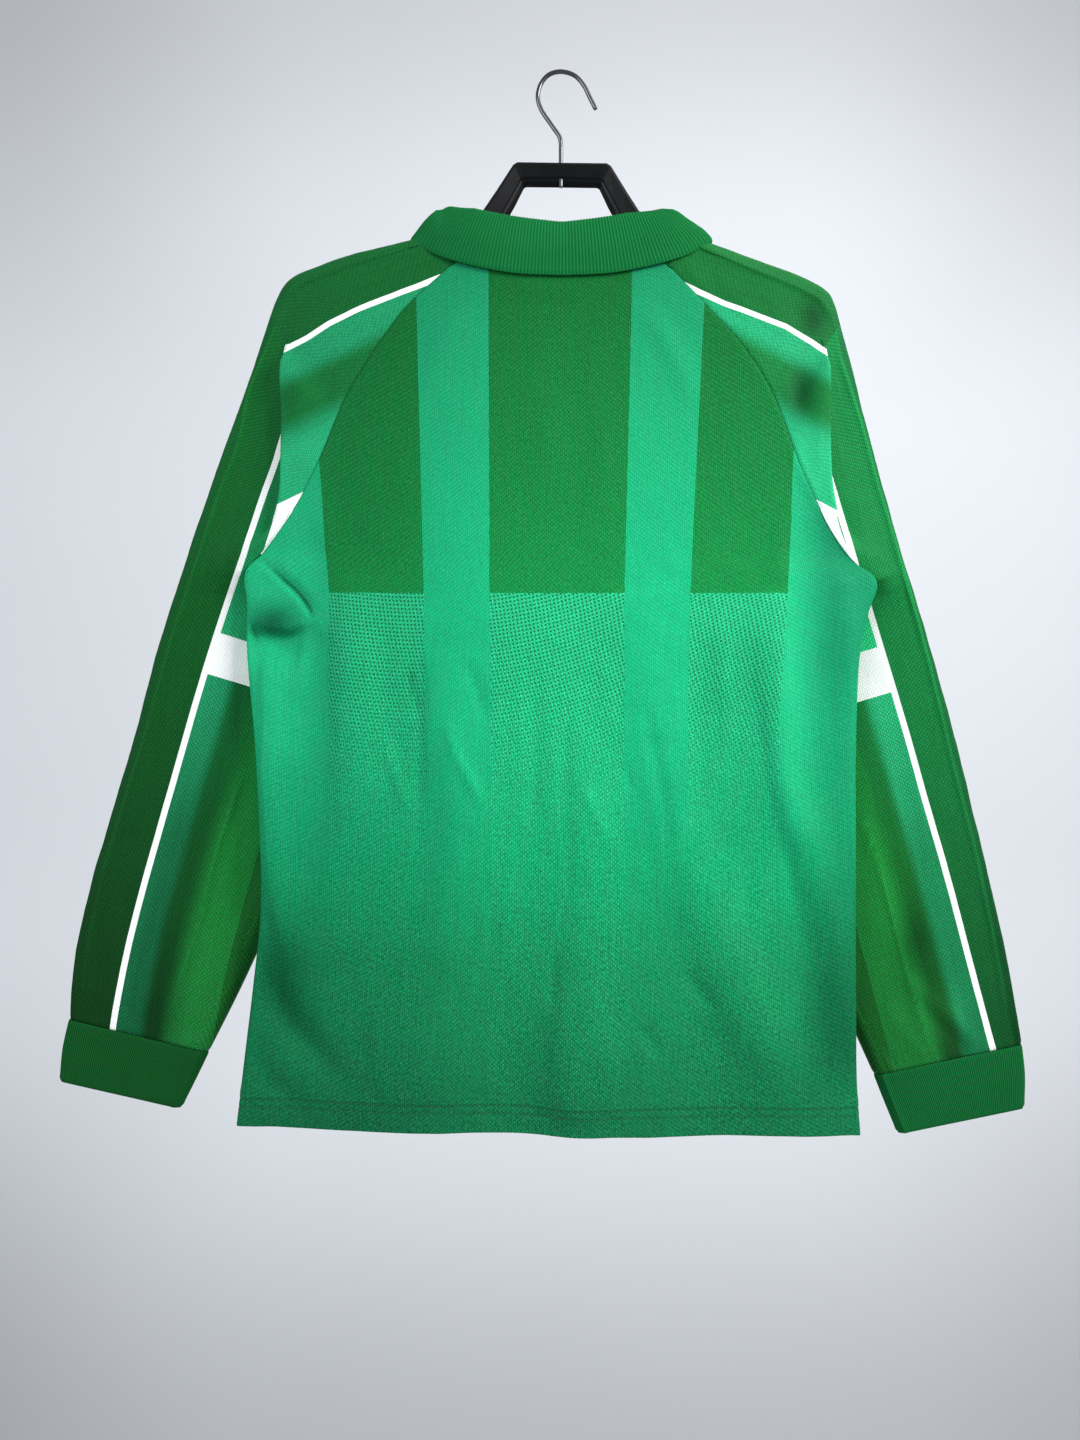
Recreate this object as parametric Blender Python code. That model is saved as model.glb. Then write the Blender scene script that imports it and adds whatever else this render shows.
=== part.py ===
# Goalkeeper jersey on a hanger.
# Frame: +Z up, the garment's front faces -Y, the wearer's left is +X.
# The origin is the inside top of the hanger's hook, where it hangs.
# Sizes are in millimetres below and become metres when a mesh is made.
import math

import bmesh
import bpy
import numpy as np
from mathutils import Matrix, Vector

for ob in list(bpy.data.objects):
    bpy.data.objects.remove(ob, do_unlink=True)

MM = 0.001

# ---------------------------------------------------------------- driving sizes
WALL = 1.3            # body and sleeve knit
TIGHT = 1.0           # the same in its tightest folds
RIB = 1.7             # cuffs
COLLAR_WALL = 1.5
GAP = 0.2             # each piece stops this far short of its seam line
NECK_GAP = 0.6        # the collar's foot over the neck seam
CENTRE = 0.5          # x of the garment's centre line
SIDE_ROLL = 5.5       # radius of the rolled cloth at the side seams
ROLL_REACH = 7.0      # how far that roll reaches in from the seam
LAYER = 2.2           # half the step from one layer of a pleat to the next
FOLD_R = 2.0          # in-plane reach of a pleat's fold
VENT = 42.0           # open length at the foot of each side seam
VENT_OPEN = 2.2       # half opening of a vent at the hem
ARMPIT = 11           # table row at which the raglan seams meet the side seam

# Raglan sleeves, as sections from the neck (row 0) past the armpit (row ARMPIT) to the cuff.
# x is measured outwards from the middle of the frame.
# Seam lines with the back (b) and with the front (f).
SEAM_COLS = "bx bz fx fz".split()
SEAM_LEFT = [
    (80.1, -156.2, 93.0, -158.0),
    (127.3, -200.0, 131.0, -203.0),
    (149.2, -227.4, 151.0, -229.0),
    (169.4, -258.0, 170.0, -259.0),
    (183.8, -282.5, 184.0, -283.0),
    (194.0, -306.0, 194.0, -306.0),
    (203.4, -328.8, 203.4, -328.8),
    (213.8, -350.6, 213.8, -350.6),
    (225.1, -371.5, 225.1, -371.5),
    (240.1, -392.3, 240.1, -392.3),
    (256.2, -412.2, 256.2, -412.2),
    (272.7, -428.7, 272.7, -428.7),
]
SEAM_RIGHT = [
    (78.8, -157.1, 92.0, -159.0),
    (125.9, -207.6, 129.0, -210.0),
    (147.7, -231.6, 149.0, -233.0),
    (167.1, -258.8, 168.0, -260.0),
    (180.6, -284.2, 181.0, -284.2),
    (189.6, -306.9, 189.6, -306.9),
    (197.7, -329.6, 197.7, -329.6),
    (206.8, -350.6, 206.8, -350.6),
    (216.9, -371.5, 216.9, -371.5),
    (229.4, -394.0, 229.4, -394.0),
    (247.4, -417.3, 247.4, -417.3),
    (270.9, -436.4, 270.9, -436.4),
]
SEAM_DEPTH_COLS = "by fy".split()     # the same on both sides
SEAM_DEPTH = [
    (12.5, -11.5), (15.5, -13.5), (16.5, -14.5), (17.0, -15.0), (17.0, -15.0), (16.5, -15.0),
    (16.0, -14.5), (15.0, -13.5), (13.5, -12.0), (10.5, -9.0), (6.5, -5.5), (0.0, 0.0),
]
# Shoulder ridge, then the outside of the arm: place, depth, and the radius the cloth turns at.
EDGE_COLS = "tx tz".split()
EDGE_LEFT = [
    (111.8, -140.5), (178.0, -155.8), (209.8, -166.2), (233.3, -176.8), (245.6, -194.5),
    (257.9, -227.8), (270.2, -264.6), (284.3, -301.5), (297.8, -336.5), (310.2, -371.8),
    (322.6, -406.3), (328.1, -425.3), (335.4, -444.3), (353.8, -498.9), (371.0, -564.3),
    (392.4, -634.3), (410.7, -697.2), (424.3, -756.5), (430.1, -815.7),
]
EDGE_RIGHT = [
    (110.9, -140.5), (175.4, -164.3), (205.5, -175.4), (226.4, -186.3), (234.4, -198.8),
    (243.3, -227.8), (253.1, -264.6), (262.8, -301.5), (272.9, -336.5), (282.8, -371.8),
    (292.6, -406.3), (299.0, -425.3), (305.4, -444.3), (322.9, -498.9), (341.9, -566.9),
    (359.8, -636.9), (374.7, -699.9), (389.1, -763.5), (401.8, -837.5),
]
EDGE_DEPTH_COLS = "ty r".split()
EDGE_DEPTH = [
    (0.0, 11.0), (0.0, 13.5), (0.0, 13.5), (-1.0, 12.0), (-2.0, 10.0),
    (-3.0, 8.0), (-4.0, 7.0), (-5.0, 6.5), (-7.0, 6.0), (-8.0, 6.0),
    (-9.0, 6.0), (-10.0, 6.0), (-11.0, 6.0), (-14.0, 6.0), (-16.0, 6.0),
    (-17.0, 6.0), (-17.0, 6.0), (-17.0, 6.0), (-17.0, 6.0),
]
# Pleat behind the shoulder, from its first row: x of its fold, and its overlap.
# Rows before and after only say where the fold line would run on.
PLEAT_FIRST, PLEAT_LAST = 5, 9
PLEAT_COLS = "px lap".split()
PLEAT_LEFT = [
    (98, 0), (152, 0), (184, 0), (212, 0), (230, 0),
    (238, 0), (238, 13), (239, 15), (241, 9), (249, 0), (270, 0), (287, 0),
]
PLEAT_RIGHT = [
    (97, 0), (150, 0), (181, 0), (207, 0), (221, 0),
    (226, 0), (227, 13), (228, 15), (231, 9), (239, 0), (261, 0), (284, 0),
]
# Inner fold of the arm, from row INNER_FIRST: over the front above the armpit, then the arm's
# inner edge down to the cuff; du is the distance from it to the underarm seam.
INNER_FIRST = 8
INNER_COLS = "gx gz du".split()
INNER_LEFT = [
    (222.0, -373.0, 0), (205.0, -395.0, 0), (193.0, -415.0, 0), (187.0, -433.0, 87),
    (184.0, -452.0, 80), (183.0, -518.0, 58), (199.0, -597.0, 38), (227.0, -668.0, 25),
    (254.0, -727.0, 17), (281.5, -788.0, 13), (310.5, -847.0, 12),
]
INNER_RIGHT = [
    (213.8, -373.0, 0), (196.0, -396.5, 0), (182.0, -420.0, 0), (175.0, -440.0, 97),
    (171.0, -460.0, 90), (168.0, -526.0, 62), (180.0, -604.0, 38), (200.0, -677.0, 25),
    (222.0, -741.0, 17), (247.0, -803.0, 13), (275.2, -867.0, 12),
]
INNER_DEPTH_COLS = "gy gh uy".split()   # depth of that fold, half the arm's thickness, seam depth
INNER_DEPTH = [
    (-18.2, 3.0, 0), (-21.4, 4.2, 0), (-22.8, 5.2, 0), (-23.6, 5.8, 0),
    (-23.6, 5.8, -12.5), (-23.6, 5.8, -17.0), (-23.6, 5.8, -17.6), (-23.6, 5.8, -17.6),
    (-23.6, 5.8, -17.6), (-23.6, 5.8, -17.6), (-23.6, 5.8, -17.6),
]

# Body sections below the armpits: side seams, hem sag, and how far each face stands out.
# lx lz / rx rz  left and right side seam; back, front  mid-panel depths
BODY_COLS = "lx lz rx rz back front".split()
BODY = [
    (271.0, -457.0, 263.6, -464.7, 21.0, -14.0),
    (271.0, -499.8, 255.5, -507.5, 21.0, -14.0),
    (264.6, -571.0, 252.9, -578.7, 20.5, -13.5),
    (260.7, -641.3, 252.9, -649.9, 20.0, -13.5),
    (259.0, -712.5, 252.9, -721.0, 20.0, -13.0),
    (265.9, -783.6, 252.9, -792.2, 19.5, -12.5),
    (274.4, -854.8, 253.7, -863.4, 18.5, -12.0),
    (279.6, -902.0, 256.3, -910.5, 17.5, -11.5),
]
# Mid-panel depths and the sag of each section line above the armpits, one row for each seam row.
TOP_COLS = "back front dip vee".split()
TOP = [
    (13.5, -12.2, 10.5, 114.0),
    (15.5, -13.0, 8.0, 90.0),
    (16.5, -13.4, 6.5, 73.0),
    (17.6, -13.7, 5.0, 54.0),
    (18.4, -13.9, 4.0, 39.0),
    (19.0, -14.0, 3.0, 27.0),
    (19.5, -14.0, 2.0, 18.0),
    (20.0, -14.0, 1.0, 11.0),
    (20.3, -14.0, 0.0, 6.0),
    (20.6, -14.0, 0.0, 3.0),
    (20.8, -14.0, 0.0, 1.0),
    (21.0, -14.0, 0.0, 0.0),
]
# Long soft folds of the hanging body: centre (fraction of the width, 0 at the left side seam),
# half width of it, depth at the hem, and the height at which the fold fades out.
FOLD_COLS = "at wide deep top".split()
BODY_FOLDS = [
    (0.10, 0.045, -2.5, -700.0),
    (0.30, 0.070, 3.0, -560.0),
    (0.43, 0.060, -4.5, -480.0),
    (0.54, 0.050, 2.0, -600.0),
    (0.63, 0.060, 4.0, -520.0),
    (0.75, 0.060, -3.0, -600.0),
    (0.88, 0.050, 2.5, -650.0),
]

# Collar, from the back centre (turn 0) over the shoulder (turn 2) to the front end (turn 4).
# f..  the fold on top; l..  the free edge of the leaf; face, tip  the way the leaf looks there,
# in degrees round from +X and up from level
COLLAR_COLS = "turn fx fy fz lx ly lz face tip".split()
COLLAR = [
    (0.00, 0.0, 12.5, -132.8, 0.0, 21.0, -179.5, 90, 6),
    (0.50, 38.0, 12.8, -128.4, 45.0, 21.0, -177.0, 84, 8),
    (1.00, 72.0, 11.6, -121.5, 92.0, 20.0, -166.5, 66, 14),
    (1.50, 90.0, 7.0, -115.0, 119.0, 15.2, -154.0, 40, 30),
    (1.75, 94.0, 3.6, -112.6, 129.0, 10.7, -145.8, 20, 38),
    (2.00, 95.5, 0.0, -111.8, 132.5, 0.0, -141.3, 0, 42),
    (2.25, 94.0, -4.2, -113.5, 130.0, -11.0, -146.8, -24, 38),
    (2.50, 89.0, -9.0, -119.0, 125.0, -16.5, -158.5, -44, 30),
    (3.00, 76.0, -14.0, -143.0, 111.0, -19.5, -198.0, -56, 18),
    (3.33, 53.0, -15.5, -185.5, 86.0, -19.5, -240.0, -60, 14),
    (3.67, 27.6, -15.5, -228.8, 54.0, -19.5, -275.0, -64, 10),
    (4.00, 7.0, -14.5, -258.0, 27.7, -19.0, -299.0, -66, 8),
]
COLLAR_ROLL = 3.1     # radius of the fold on top of the collar

# Rib cuffs: outer and inner edge at the far end, as x outwards and z.
CUFF_LEFT = dict(tx=438.4, tz=-869.5, gx=334.6, gz=-896.5)
CUFF_RIGHT = dict(tx=404.0, tz=-893.0, gx=295.9, gz=-918.8)

# Hanger body, from the tip of an arm to the middle of its handle.
# ox oz  outer edge; ix iz  inner edge; deep  its size from front to back
HANGER_COLS = "ox oz ix iz deep".split()
HANGER = [
    (222.5, -198.5, 218.5, -206.5, 12.0),
    (216.0, -193.0, 209.5, -209.0, 18.0),
    (200.0, -186.0, 193.0, -204.0, 20.0),
    (170.0, -172.5, 163.0, -190.5, 20.0),
    (135.0, -157.5, 128.0, -175.5, 18.0),
    (112.0, -148.0, 102.0, -165.0, 14.0),
    (96.0, -141.0, 82.0, -157.0, 13.0),
    (80.0, -133.0, 64.0, -147.5, 14.0),
    (70.0, -124.0, 53.0, -136.0, 14.0),
    (56.0, -102.8, 40.0, -112.5, 14.0),
    (42.0, -80.6, 32.6, -97.2, 14.0),
    (38.6, -78.4, 30.2, -95.9, 14.0),
    (8.0, -78.4, 8.0, -95.9, 14.0),
]
HANGER_TILT = math.radians(0.7)   # it hangs a little to one side
HANGER_EDGE = 3.0                 # its rounded edges

# Hook wire, from its tip over the top to the bar.
WIRE = 3.8
HOOK_COLS = "x z".split()
HOOK = [
    (-29.2, -30.6),
    (-24.1, -20.6),
    (-18.6, -9.6),
    (-10.6, -1.2),
    (0.9, 2.0),
    (11.6, -0.9),
    (18.6, -9.6),
    (20.8, -20.6),
    (17.6, -31.2),
    (8.6, -44.6),
    (2.2, -54.1),
    (0.9, -61.0),
]
HEAD_R = 3.1          # the wire's head under the bar


# ---------------------------------------------------------------- curves from the tables
def spline(table, s):
    """A smooth curve through the table's rows, read at row numbers s."""
    P = np.asarray(table, float)
    if P.ndim == 1:
        P = P[:, None]
    n = len(P)
    s = np.clip(np.atleast_1d(np.asarray(s, float)), 0, n - 1)
    i = np.minimum(s.astype(int), n - 2)
    t = (s - i)[:, None]
    p1, p2 = P[i], P[i + 1]
    p0 = P[np.maximum(i - 1, 0)]
    p3 = P[np.minimum(i + 2, n - 1)]
    p0 = np.where((i == 0)[:, None], 2 * p1 - p2, p0)
    p3 = np.where((i == n - 2)[:, None], 2 * p2 - p1, p3)
    return (p1 + 0.5 * t * (p2 - p0 + t * (2 * p0 - 5 * p1 + 4 * p2 - p3
                                            + t * (3 * (p1 - p2) + p3 - p0))))


def smooth(t):
    t = np.clip(t, 0.0, 1.0)
    return t * t * (3 - 2 * t)


def unit(v):
    return v / np.maximum(np.linalg.norm(v, axis=-1, keepdims=True), 1e-9)


# ---------------------------------------------------------------- sleeve sections
def sleeve_table(side):
    """All the sleeve's measures as one table, a row for each section."""
    seam, edge, pleat, inner = ((SEAM_LEFT, EDGE_LEFT, PLEAT_LEFT, INNER_LEFT) if side == "left"
                                else (SEAM_RIGHT, EDGE_RIGHT, PLEAT_RIGHT, INNER_RIGHT))
    rows = []
    for i in range(len(edge)):
        q = {}
        k = min(i, ARMPIT)
        g = max(i - INNER_FIRST, 0)
        for cols, vals in ((SEAM_COLS, seam[k]), (SEAM_DEPTH_COLS, SEAM_DEPTH[k]),
                           (EDGE_COLS, edge[i]), (EDGE_DEPTH_COLS, EDGE_DEPTH[i]),
                           (PLEAT_COLS, pleat[k]), (INNER_COLS, inner[g]),
                           (INNER_DEPTH_COLS, INNER_DEPTH[g])):
            q.update(zip(cols, vals))
        q["pl"] = 1.0 if PLEAT_FIRST <= i <= PLEAT_LAST else 0.0
        q["ov"] = 1.0 if i >= INNER_FIRST else 0.0
        rows.append([q[c] for c in COLS])
    return np.array(rows, float)


COLS = ("bx bz fx fz by fy tx tz ty r px lap gx gz du gy gh uy pl ov").split()
APEX = 12             # knot on the outer edge
LAST = 22             # knot on the front seam
STRIP = 2.6           # spacing of the knots along an unfolded fold line


def mix(a, b, t):
    return a * (1 - t) + b * t


def section(row, closed):
    """Knots of one sleeve section, from the back seam round the outer edge to the front seam."""
    q = dict(zip(COLS, row))
    T = np.array([q["tx"], q["tz"]])
    G = np.array([q["gx"], q["gz"]])
    r, pl, ov = q["r"], q["pl"], q["ov"]
    under = q["gy"] + q["gh"]
    deep = q["gy"] - q["gh"]
    if closed:
        B = F = G + (T - G) / np.linalg.norm(T - G) * q["du"]
        by = fy = q["uy"]
    else:
        B = np.array([q["bx"], q["bz"]])
        F = np.array([q["fx"], q["fz"]])
        by, fy = q["by"], q["fy"]
    out = np.zeros((LAST + 1, 3))

    def put(k, xz, y):
        out[k] = (xz[0], y, xz[1])

    # back: seam, pleat, back of the arm
    e = (T - B) / np.linalg.norm(T - B)
    reach = np.linalg.norm(T - B) - r
    top = q["ty"] + r
    a1 = (q["px"] - B[0]) / max(e[0], 0.2)
    a2 = a1 - q["lap"]
    af = float(np.clip(a1, 3.2 * STRIP, reach - 4.5 * STRIP))
    yu = by + 0.8
    low = yu - 4 * LAYER
    flat = [0, 0.5 * (af - 2.5 * STRIP)] + [af + STRIP * (k - 4.5) for k in range(2, 8)]
    flat += [flat[-1] + (reach - flat[-1]) * t for t in (0.34, 0.68, 1.0)]
    lap = min(q["lap"] / 8.0, 1.0)      # 0 is a plain step, 1 a full pleat
    folded = [0, 0.5 * a1, a1 - FOLD_R, a1, a1 + mix(0.2, -FOLD_R, lap),
              a2 + mix(0.4, FOLD_R, lap), a2 + mix(0.7, 0, lap), a2 + FOLD_R,
              a2 + 0.34 * (reach - a2), a2 + 0.68 * (reach - a2), reach]
    bend = mix(0.7, 0, lap)
    folded_y = [by, by + 0.5, yu, yu - LAYER, yu - 2 * LAYER + bend, yu - 2 * LAYER - bend,
                yu - 3 * LAYER, low, mix(low, top, 0.30), mix(low, top, 0.66), top]
    for k in range(11):
        t = flat[k] / reach
        flat_y = mix(by, top, t if closed else 0.4 * t + 0.6 * smooth(t))
        put(k, B + e * mix(flat[k], folded[k], pl), mix(flat_y, folded_y[k], pl))
    # outer edge
    C = T - e * r
    put(11, C + e * r * 0.707, q["ty"] + r * 0.707)
    put(12, T, q["ty"])
    H = mix(F, G, ov)
    ef = (T - H) / np.linalg.norm(T - H)
    put(13, T - ef * r * 0.293, q["ty"] - r * 0.707)
    # front: front of the arm, inner fold, seam
    near = q["ty"] - r
    e0 = (T - F) / np.linalg.norm(T - F)
    e1 = (T - G) / np.linalg.norm(T - G)
    l0 = np.linalg.norm(T - F) - r
    l1 = np.linalg.norm(T - G) - r
    lu = max(np.linalg.norm(F - G), 1e-6)
    eu = (F - G) / lu
    drop = abs(fy - under)
    if closed:
        last = [(G + eu * lu * 0.55, mix(under, fy, 0.45)), (G + eu * lu * 0.80, mix(under, fy, 0.80))]
    else:
        wide = 0.3 + 1.6 * min(lu / 14.0, 1.0) * (1 - min(drop / 17.8, 1.0) ** 2)
        last = [(F - eu * (wide + 0.08 * drop), mix(fy, under, 0.90)),
                (F + eu * wide, mix(fy, under, 0.42))]
    gh = q["gh"]
    over = [(G + e1 * l1, near),
            (G + e1 * mix(gh, l1, 0.70), mix(near, deep, 0.35)),
            (G + e1 * mix(gh, l1, 0.36), mix(near, deep, 0.75)),
            (G + e1 * gh, deep), (G, q["gy"]), (G + eu * min(gh, 0.4 * lu), under)]
    over += last + [(F, fy)]
    w = min(STRIP, l0 / 8.5)
    strip = [l0, mix(5 * w, l0, 0.70), mix(5 * w, l0, 0.36)] + [w * k for k in (5, 4, 3, 2, 1, 0)]
    for k in range(14, LAST + 1):
        a = strip[k - 14]
        y0 = mix(fy, near, a / l0)
        xz1, y1 = over[k - 14]
        put(k, mix(F + e0 * a, xz1, ov), mix(y0, y1, ov))
    return out


def sleeve_grid(table, rows, knots):
    """Outer surface of a sleeve at the given table rows and knot numbers."""
    out = []
    for s in rows:
        if ARMPIT < s < ARMPIT + 1:      # just under the armpit the tube closes
            t = s - ARMPIT
            t = np.array([t ** 1.5, t ** 0.5, t])
            K = mix(section(table[ARMPIT], False), section(table[ARMPIT + 1], True), t)
        else:
            K = section(spline(table, s)[0], s > ARMPIT + 1e-6)
        out.append(spline(K, knots))
    return np.array(out)


ARM = {"left": sleeve_table("left"), "right": sleeve_table("right")}


# ---------------------------------------------------------------- body panels
def fold_relief(u, z, z_hem):
    """Depth of the long hanging folds at width fraction u and height z."""
    d = np.zeros_like(u)
    for row in BODY_FOLDS:
        f = dict(zip(FOLD_COLS, row))
        grow = smooth((f["top"] - z) / (f["top"] - z_hem))
        d += f["deep"] * grow * np.exp(-((u - f["at"]) / f["wide"]) ** 2)
    return d


def panel_grid(side, rows, cols):
    """Outer surface of the back (side +1) or the front (side -1) panel."""
    seam = "b" if side > 0 else "f"
    L, R = ARM["left"], ARM["right"]
    ix, iz, iy = (COLS.index(seam + c) for c in "xzy")
    n_top = ARMPIT + 1
    line = []
    for i in range(n_top):
        t = dict(zip(TOP_COLS, TOP[i]))
        mid = t["back"] if side > 0 else t["front"]
        dip = t["dip"] if side > 0 else t["vee"]
        roll = 1.0 if i == ARMPIT else 0.0
        line.append((L[i, ix], L[i, iz], L[i, iy], -R[i, ix], R[i, iz], R[i, iy], mid, dip, roll))
    for row in BODY:
        b = dict(zip(BODY_COLS, row))
        mid = b["back"] if side > 0 else b["front"]
        line.append((b["lx"], b["lz"], 0, -b["rx"], b["rz"], 0, mid, 0, 1))
    line = np.array(line)
    out = []
    for s in rows:
        lx, lz, ly, rx, rz, ry, mid, dip, roll = spline(line, s)[0]
        u = np.asarray(cols, float)
        c = 2 * u - 1
        m = np.abs(c)
        c0 = 0.90
        yb = np.where(c < 0, ly, ry)
        edge = ROLL_REACH
        th = np.clip((m - c0) / (1 - c0), 0, 1) * math.pi / 2
        lift = SIDE_ROLL * roll * side
        cx, hx = 0.5 * (lx + rx), 0.5 * (lx - rx)
        flat = hx - edge
        xs = np.where(m <= c0, flat * m / c0, flat + edge * np.sin(th))
        x = cx - np.sign(c) * xs
        body = yb + lift
        y = np.where(m <= c0, body + (mid - body) * (1 - np.clip(m / c0, 0, 1) ** 2.6),
                     yb + lift * np.cos(th))
        z = lz + (rz - lz) * u
        if side > 0:
            z = z - dip * np.cos(c * math.pi / 2) ** 1.2
        else:
            z = z - dip * (1 - m ** 1.25)
        hem = 0.5 * (lz + rz)
        y = y + side * fold_relief(u, z, -906.0) * (1 - smooth((m - 0.8) / 0.15))
        y = y + side * 0.15
        # the vents open towards the hem
        low = lz + (rz - lz) * u
        hem_z = BODY[-1][1] + (BODY[-1][3] - BODY[-1][1]) * u
        vent = np.clip(1 - (low - hem_z) / VENT, 0, 1)
        y = y + side * VENT_OPEN * vent * smooth((m - c0) / (1 - c0))
        x = x + np.sign(c) * GAP * smooth((m - c0) / (1 - c0))
        if s >= ARMPIT - 1e-6:
            z = z - 2 * GAP * smooth((m - c0) / (1 - c0)) * (1 - smooth((s - ARMPIT) / 1.0))
        out.append(np.stack([x, y, z], -1))
    return np.array(out)


# ---------------------------------------------------------------- walls from surfaces
def normals(G, wrap=False, turn=1.0):
    """Unit normals of a grid of points, by its central differences."""
    if wrap:
        du = np.roll(G, -1, 1) - np.roll(G, 1, 1)
    else:
        du = np.empty_like(G)
        du[:, 1:-1] = G[:, 2:] - G[:, :-2]
        du[:, 0] = G[:, 1] - G[:, 0]
        du[:, -1] = G[:, -1] - G[:, -2]
    dv = np.empty_like(G)
    dv[1:-1] = G[2:] - G[:-2]
    dv[0] = G[1] - G[0]
    dv[-1] = G[-1] - G[-2]
    return unit(np.cross(unit(du), unit(dv))) * turn


def wall(name, outer, inner, material, closed_from=None):
    """A closed wall between two grids. Columns join up from row closed_from on."""
    rows, cols = outer.shape[:2]
    bm = bmesh.new()
    vert = {}

    def key(layer, i, j):
        if closed_from is not None and i >= closed_from and j == cols - 1:
            j = 0
        return layer, i, j

    for layer, grid in ((0, outer), (1, inner)):
        for i in range(rows):
            for j in range(cols):
                k = key(layer, i, j)
                if k not in vert:
                    vert[k] = bm.verts.new([float(c) * MM for c in grid[i, j]])

    def face(*ks):
        bm.faces.new([vert[key(*k)] for k in ks])

    for i in range(rows - 1):
        for j in range(cols - 1):
            face((0, i, j), (0, i, j + 1), (0, i + 1, j + 1), (0, i + 1, j))
            face((1, i, j), (1, i + 1, j), (1, i + 1, j + 1), (1, i, j + 1))
    for j in range(cols - 1):
        face((0, 0, j), (1, 0, j), (1, 0, j + 1), (0, 0, j + 1))
        face((0, rows - 1, j), (0, rows - 1, j + 1), (1, rows - 1, j + 1), (1, rows - 1, j))
    stop = rows - 1 if closed_from is None else closed_from
    for i in range(stop):
        face((0, i, 0), (0, i + 1, 0), (1, i + 1, 0), (1, i, 0))
        face((0, i, cols - 1), (1, i, cols - 1), (1, i + 1, cols - 1), (0, i + 1, cols - 1))
    bmesh.ops.recalc_face_normals(bm, faces=bm.faces)
    return finish(name, bm, material)


def finish(name, bm, material):
    me = bpy.data.meshes.new(name)
    bm.to_mesh(me)
    bm.free()
    me.shade_smooth()
    me.set_sharp_from_angle(angle=math.radians(50))
    ob = bpy.data.objects.new(name, me)
    me.materials.append(material)
    group.objects.link(ob)
    return ob


def loft(name, rings, material):
    """A closed solid through rings of equal length, with flat ends."""
    bm = bmesh.new()
    loops = [[bm.verts.new([float(c) * MM for c in p]) for p in ring] for ring in rings]
    n = len(loops[0])
    for a, b in zip(loops, loops[1:]):
        for k in range(n):
            bm.faces.new((a[k], a[(k + 1) % n], b[(k + 1) % n], b[k]))
    bm.faces.new(loops[0])
    bm.faces.new(list(reversed(loops[-1])))
    bmesh.ops.recalc_face_normals(bm, faces=bm.faces)
    return finish(name, bm, material)


# ---------------------------------------------------------------- materials
def make_material(name, colour, rough, metal=0.0):
    m = bpy.data.materials.new(name)
    m.use_nodes = True
    b = m.node_tree.nodes["Principled BSDF"]
    b.inputs["Base Color"].default_value = (*colour, 1)
    b.inputs["Roughness"].default_value = rough
    b.inputs["Metallic"].default_value = metal
    m.diffuse_color = (*colour, 1)
    return m


group = bpy.data.collections.new("goalkeeper_jersey")
bpy.context.scene.collection.children.link(group)
cutters = bpy.data.collections.new("cutters")
bpy.context.scene.collection.children.link(cutters)

body_knit = make_material("body_knit", (0.020, 0.38, 0.16), 0.62)
sleeve_knit = make_material("sleeve_knit", (0.012, 0.19, 0.06), 0.62)
rib_knit = make_material("rib_knit", (0.010, 0.16, 0.045), 0.75)
black_plastic = make_material("black_plastic", (0.008, 0.010, 0.012), 0.35)
hook_steel = make_material("hook_steel", (0.45, 0.46, 0.48), 0.25, 1.0)

# ---------------------------------------------------------------- grids of the sewn pieces
seam_rows = list(range(ARMPIT + 1))
body_rows = seam_rows + [12.2, 13, 14, 15, 16, 17, 18, 19]
roll = [0.0, 0.018, 0.05]
body_cols = roll + [0.10, 0.17, 0.24, 0.31, 0.38, 0.44, 0.5] 
body_cols = body_cols + [1 - u for u in reversed(body_cols[:-1])]
arm_rows = seam_rows + [11.5, 12, 13, 14, 15, 16, 17, 18]
arm_cols = list(range(LAST + 1))

back = panel_grid(+1, body_rows, body_cols)
front = panel_grid(-1, body_rows, body_cols)
arms = {}
for side in ARM:
    arms[side] = sleeve_grid(ARM[side], arm_rows, arm_cols)

n_back = normals(back, turn=-1.0)
n_front = normals(front, turn=+1.0)
for N, sgn in ((n_back, 1), (n_front, -1)):
    mid = N[len(N) // 2, N.shape[1] // 2, 1]
    if mid * sgn < 0:
        N *= -1
n_arm = {}
for side in arms:
    N = normals(arms[side])
    if N[3, APEX, 2] < 0:
        N *= -1
    n_arm[side] = N

# The pieces on either side of a seam share its normals, so their cut edges lie face to face.
for side in ("left", "right"):
    j = 0 if side == "left" else -1
    flip = 1.0 if side == "left" else -1.0
    mirror = np.array([flip, 1, 1])
    for i in range(ARMPIT + 1):
        nb = unit(n_back[i, j] + n_arm[side][i, 0] * mirror)
        nf = unit(n_front[i, j] + n_arm[side][i, -1] * mirror)
        if i == ARMPIT:
            nb = nf = np.array([0.7 * flip, 0.0, -0.7])
        if i == ARMPIT - 1:
            nb = unit(np.array([0.35 * flip, 0.85, -0.35]))
            nf = unit(np.array([0.35 * flip, -0.85, -0.35]))
        n_back[i, j] = nb
        n_front[i, j] = nf
        n_arm[side][i, 0] = nb * mirror
        n_arm[side][i, -1] = nf * mirror
    for i in range(ARMPIT + 1, len(body_rows)):
        n_back[i, j] = n_front[i, j] = (flip, 0, 0)

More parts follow.
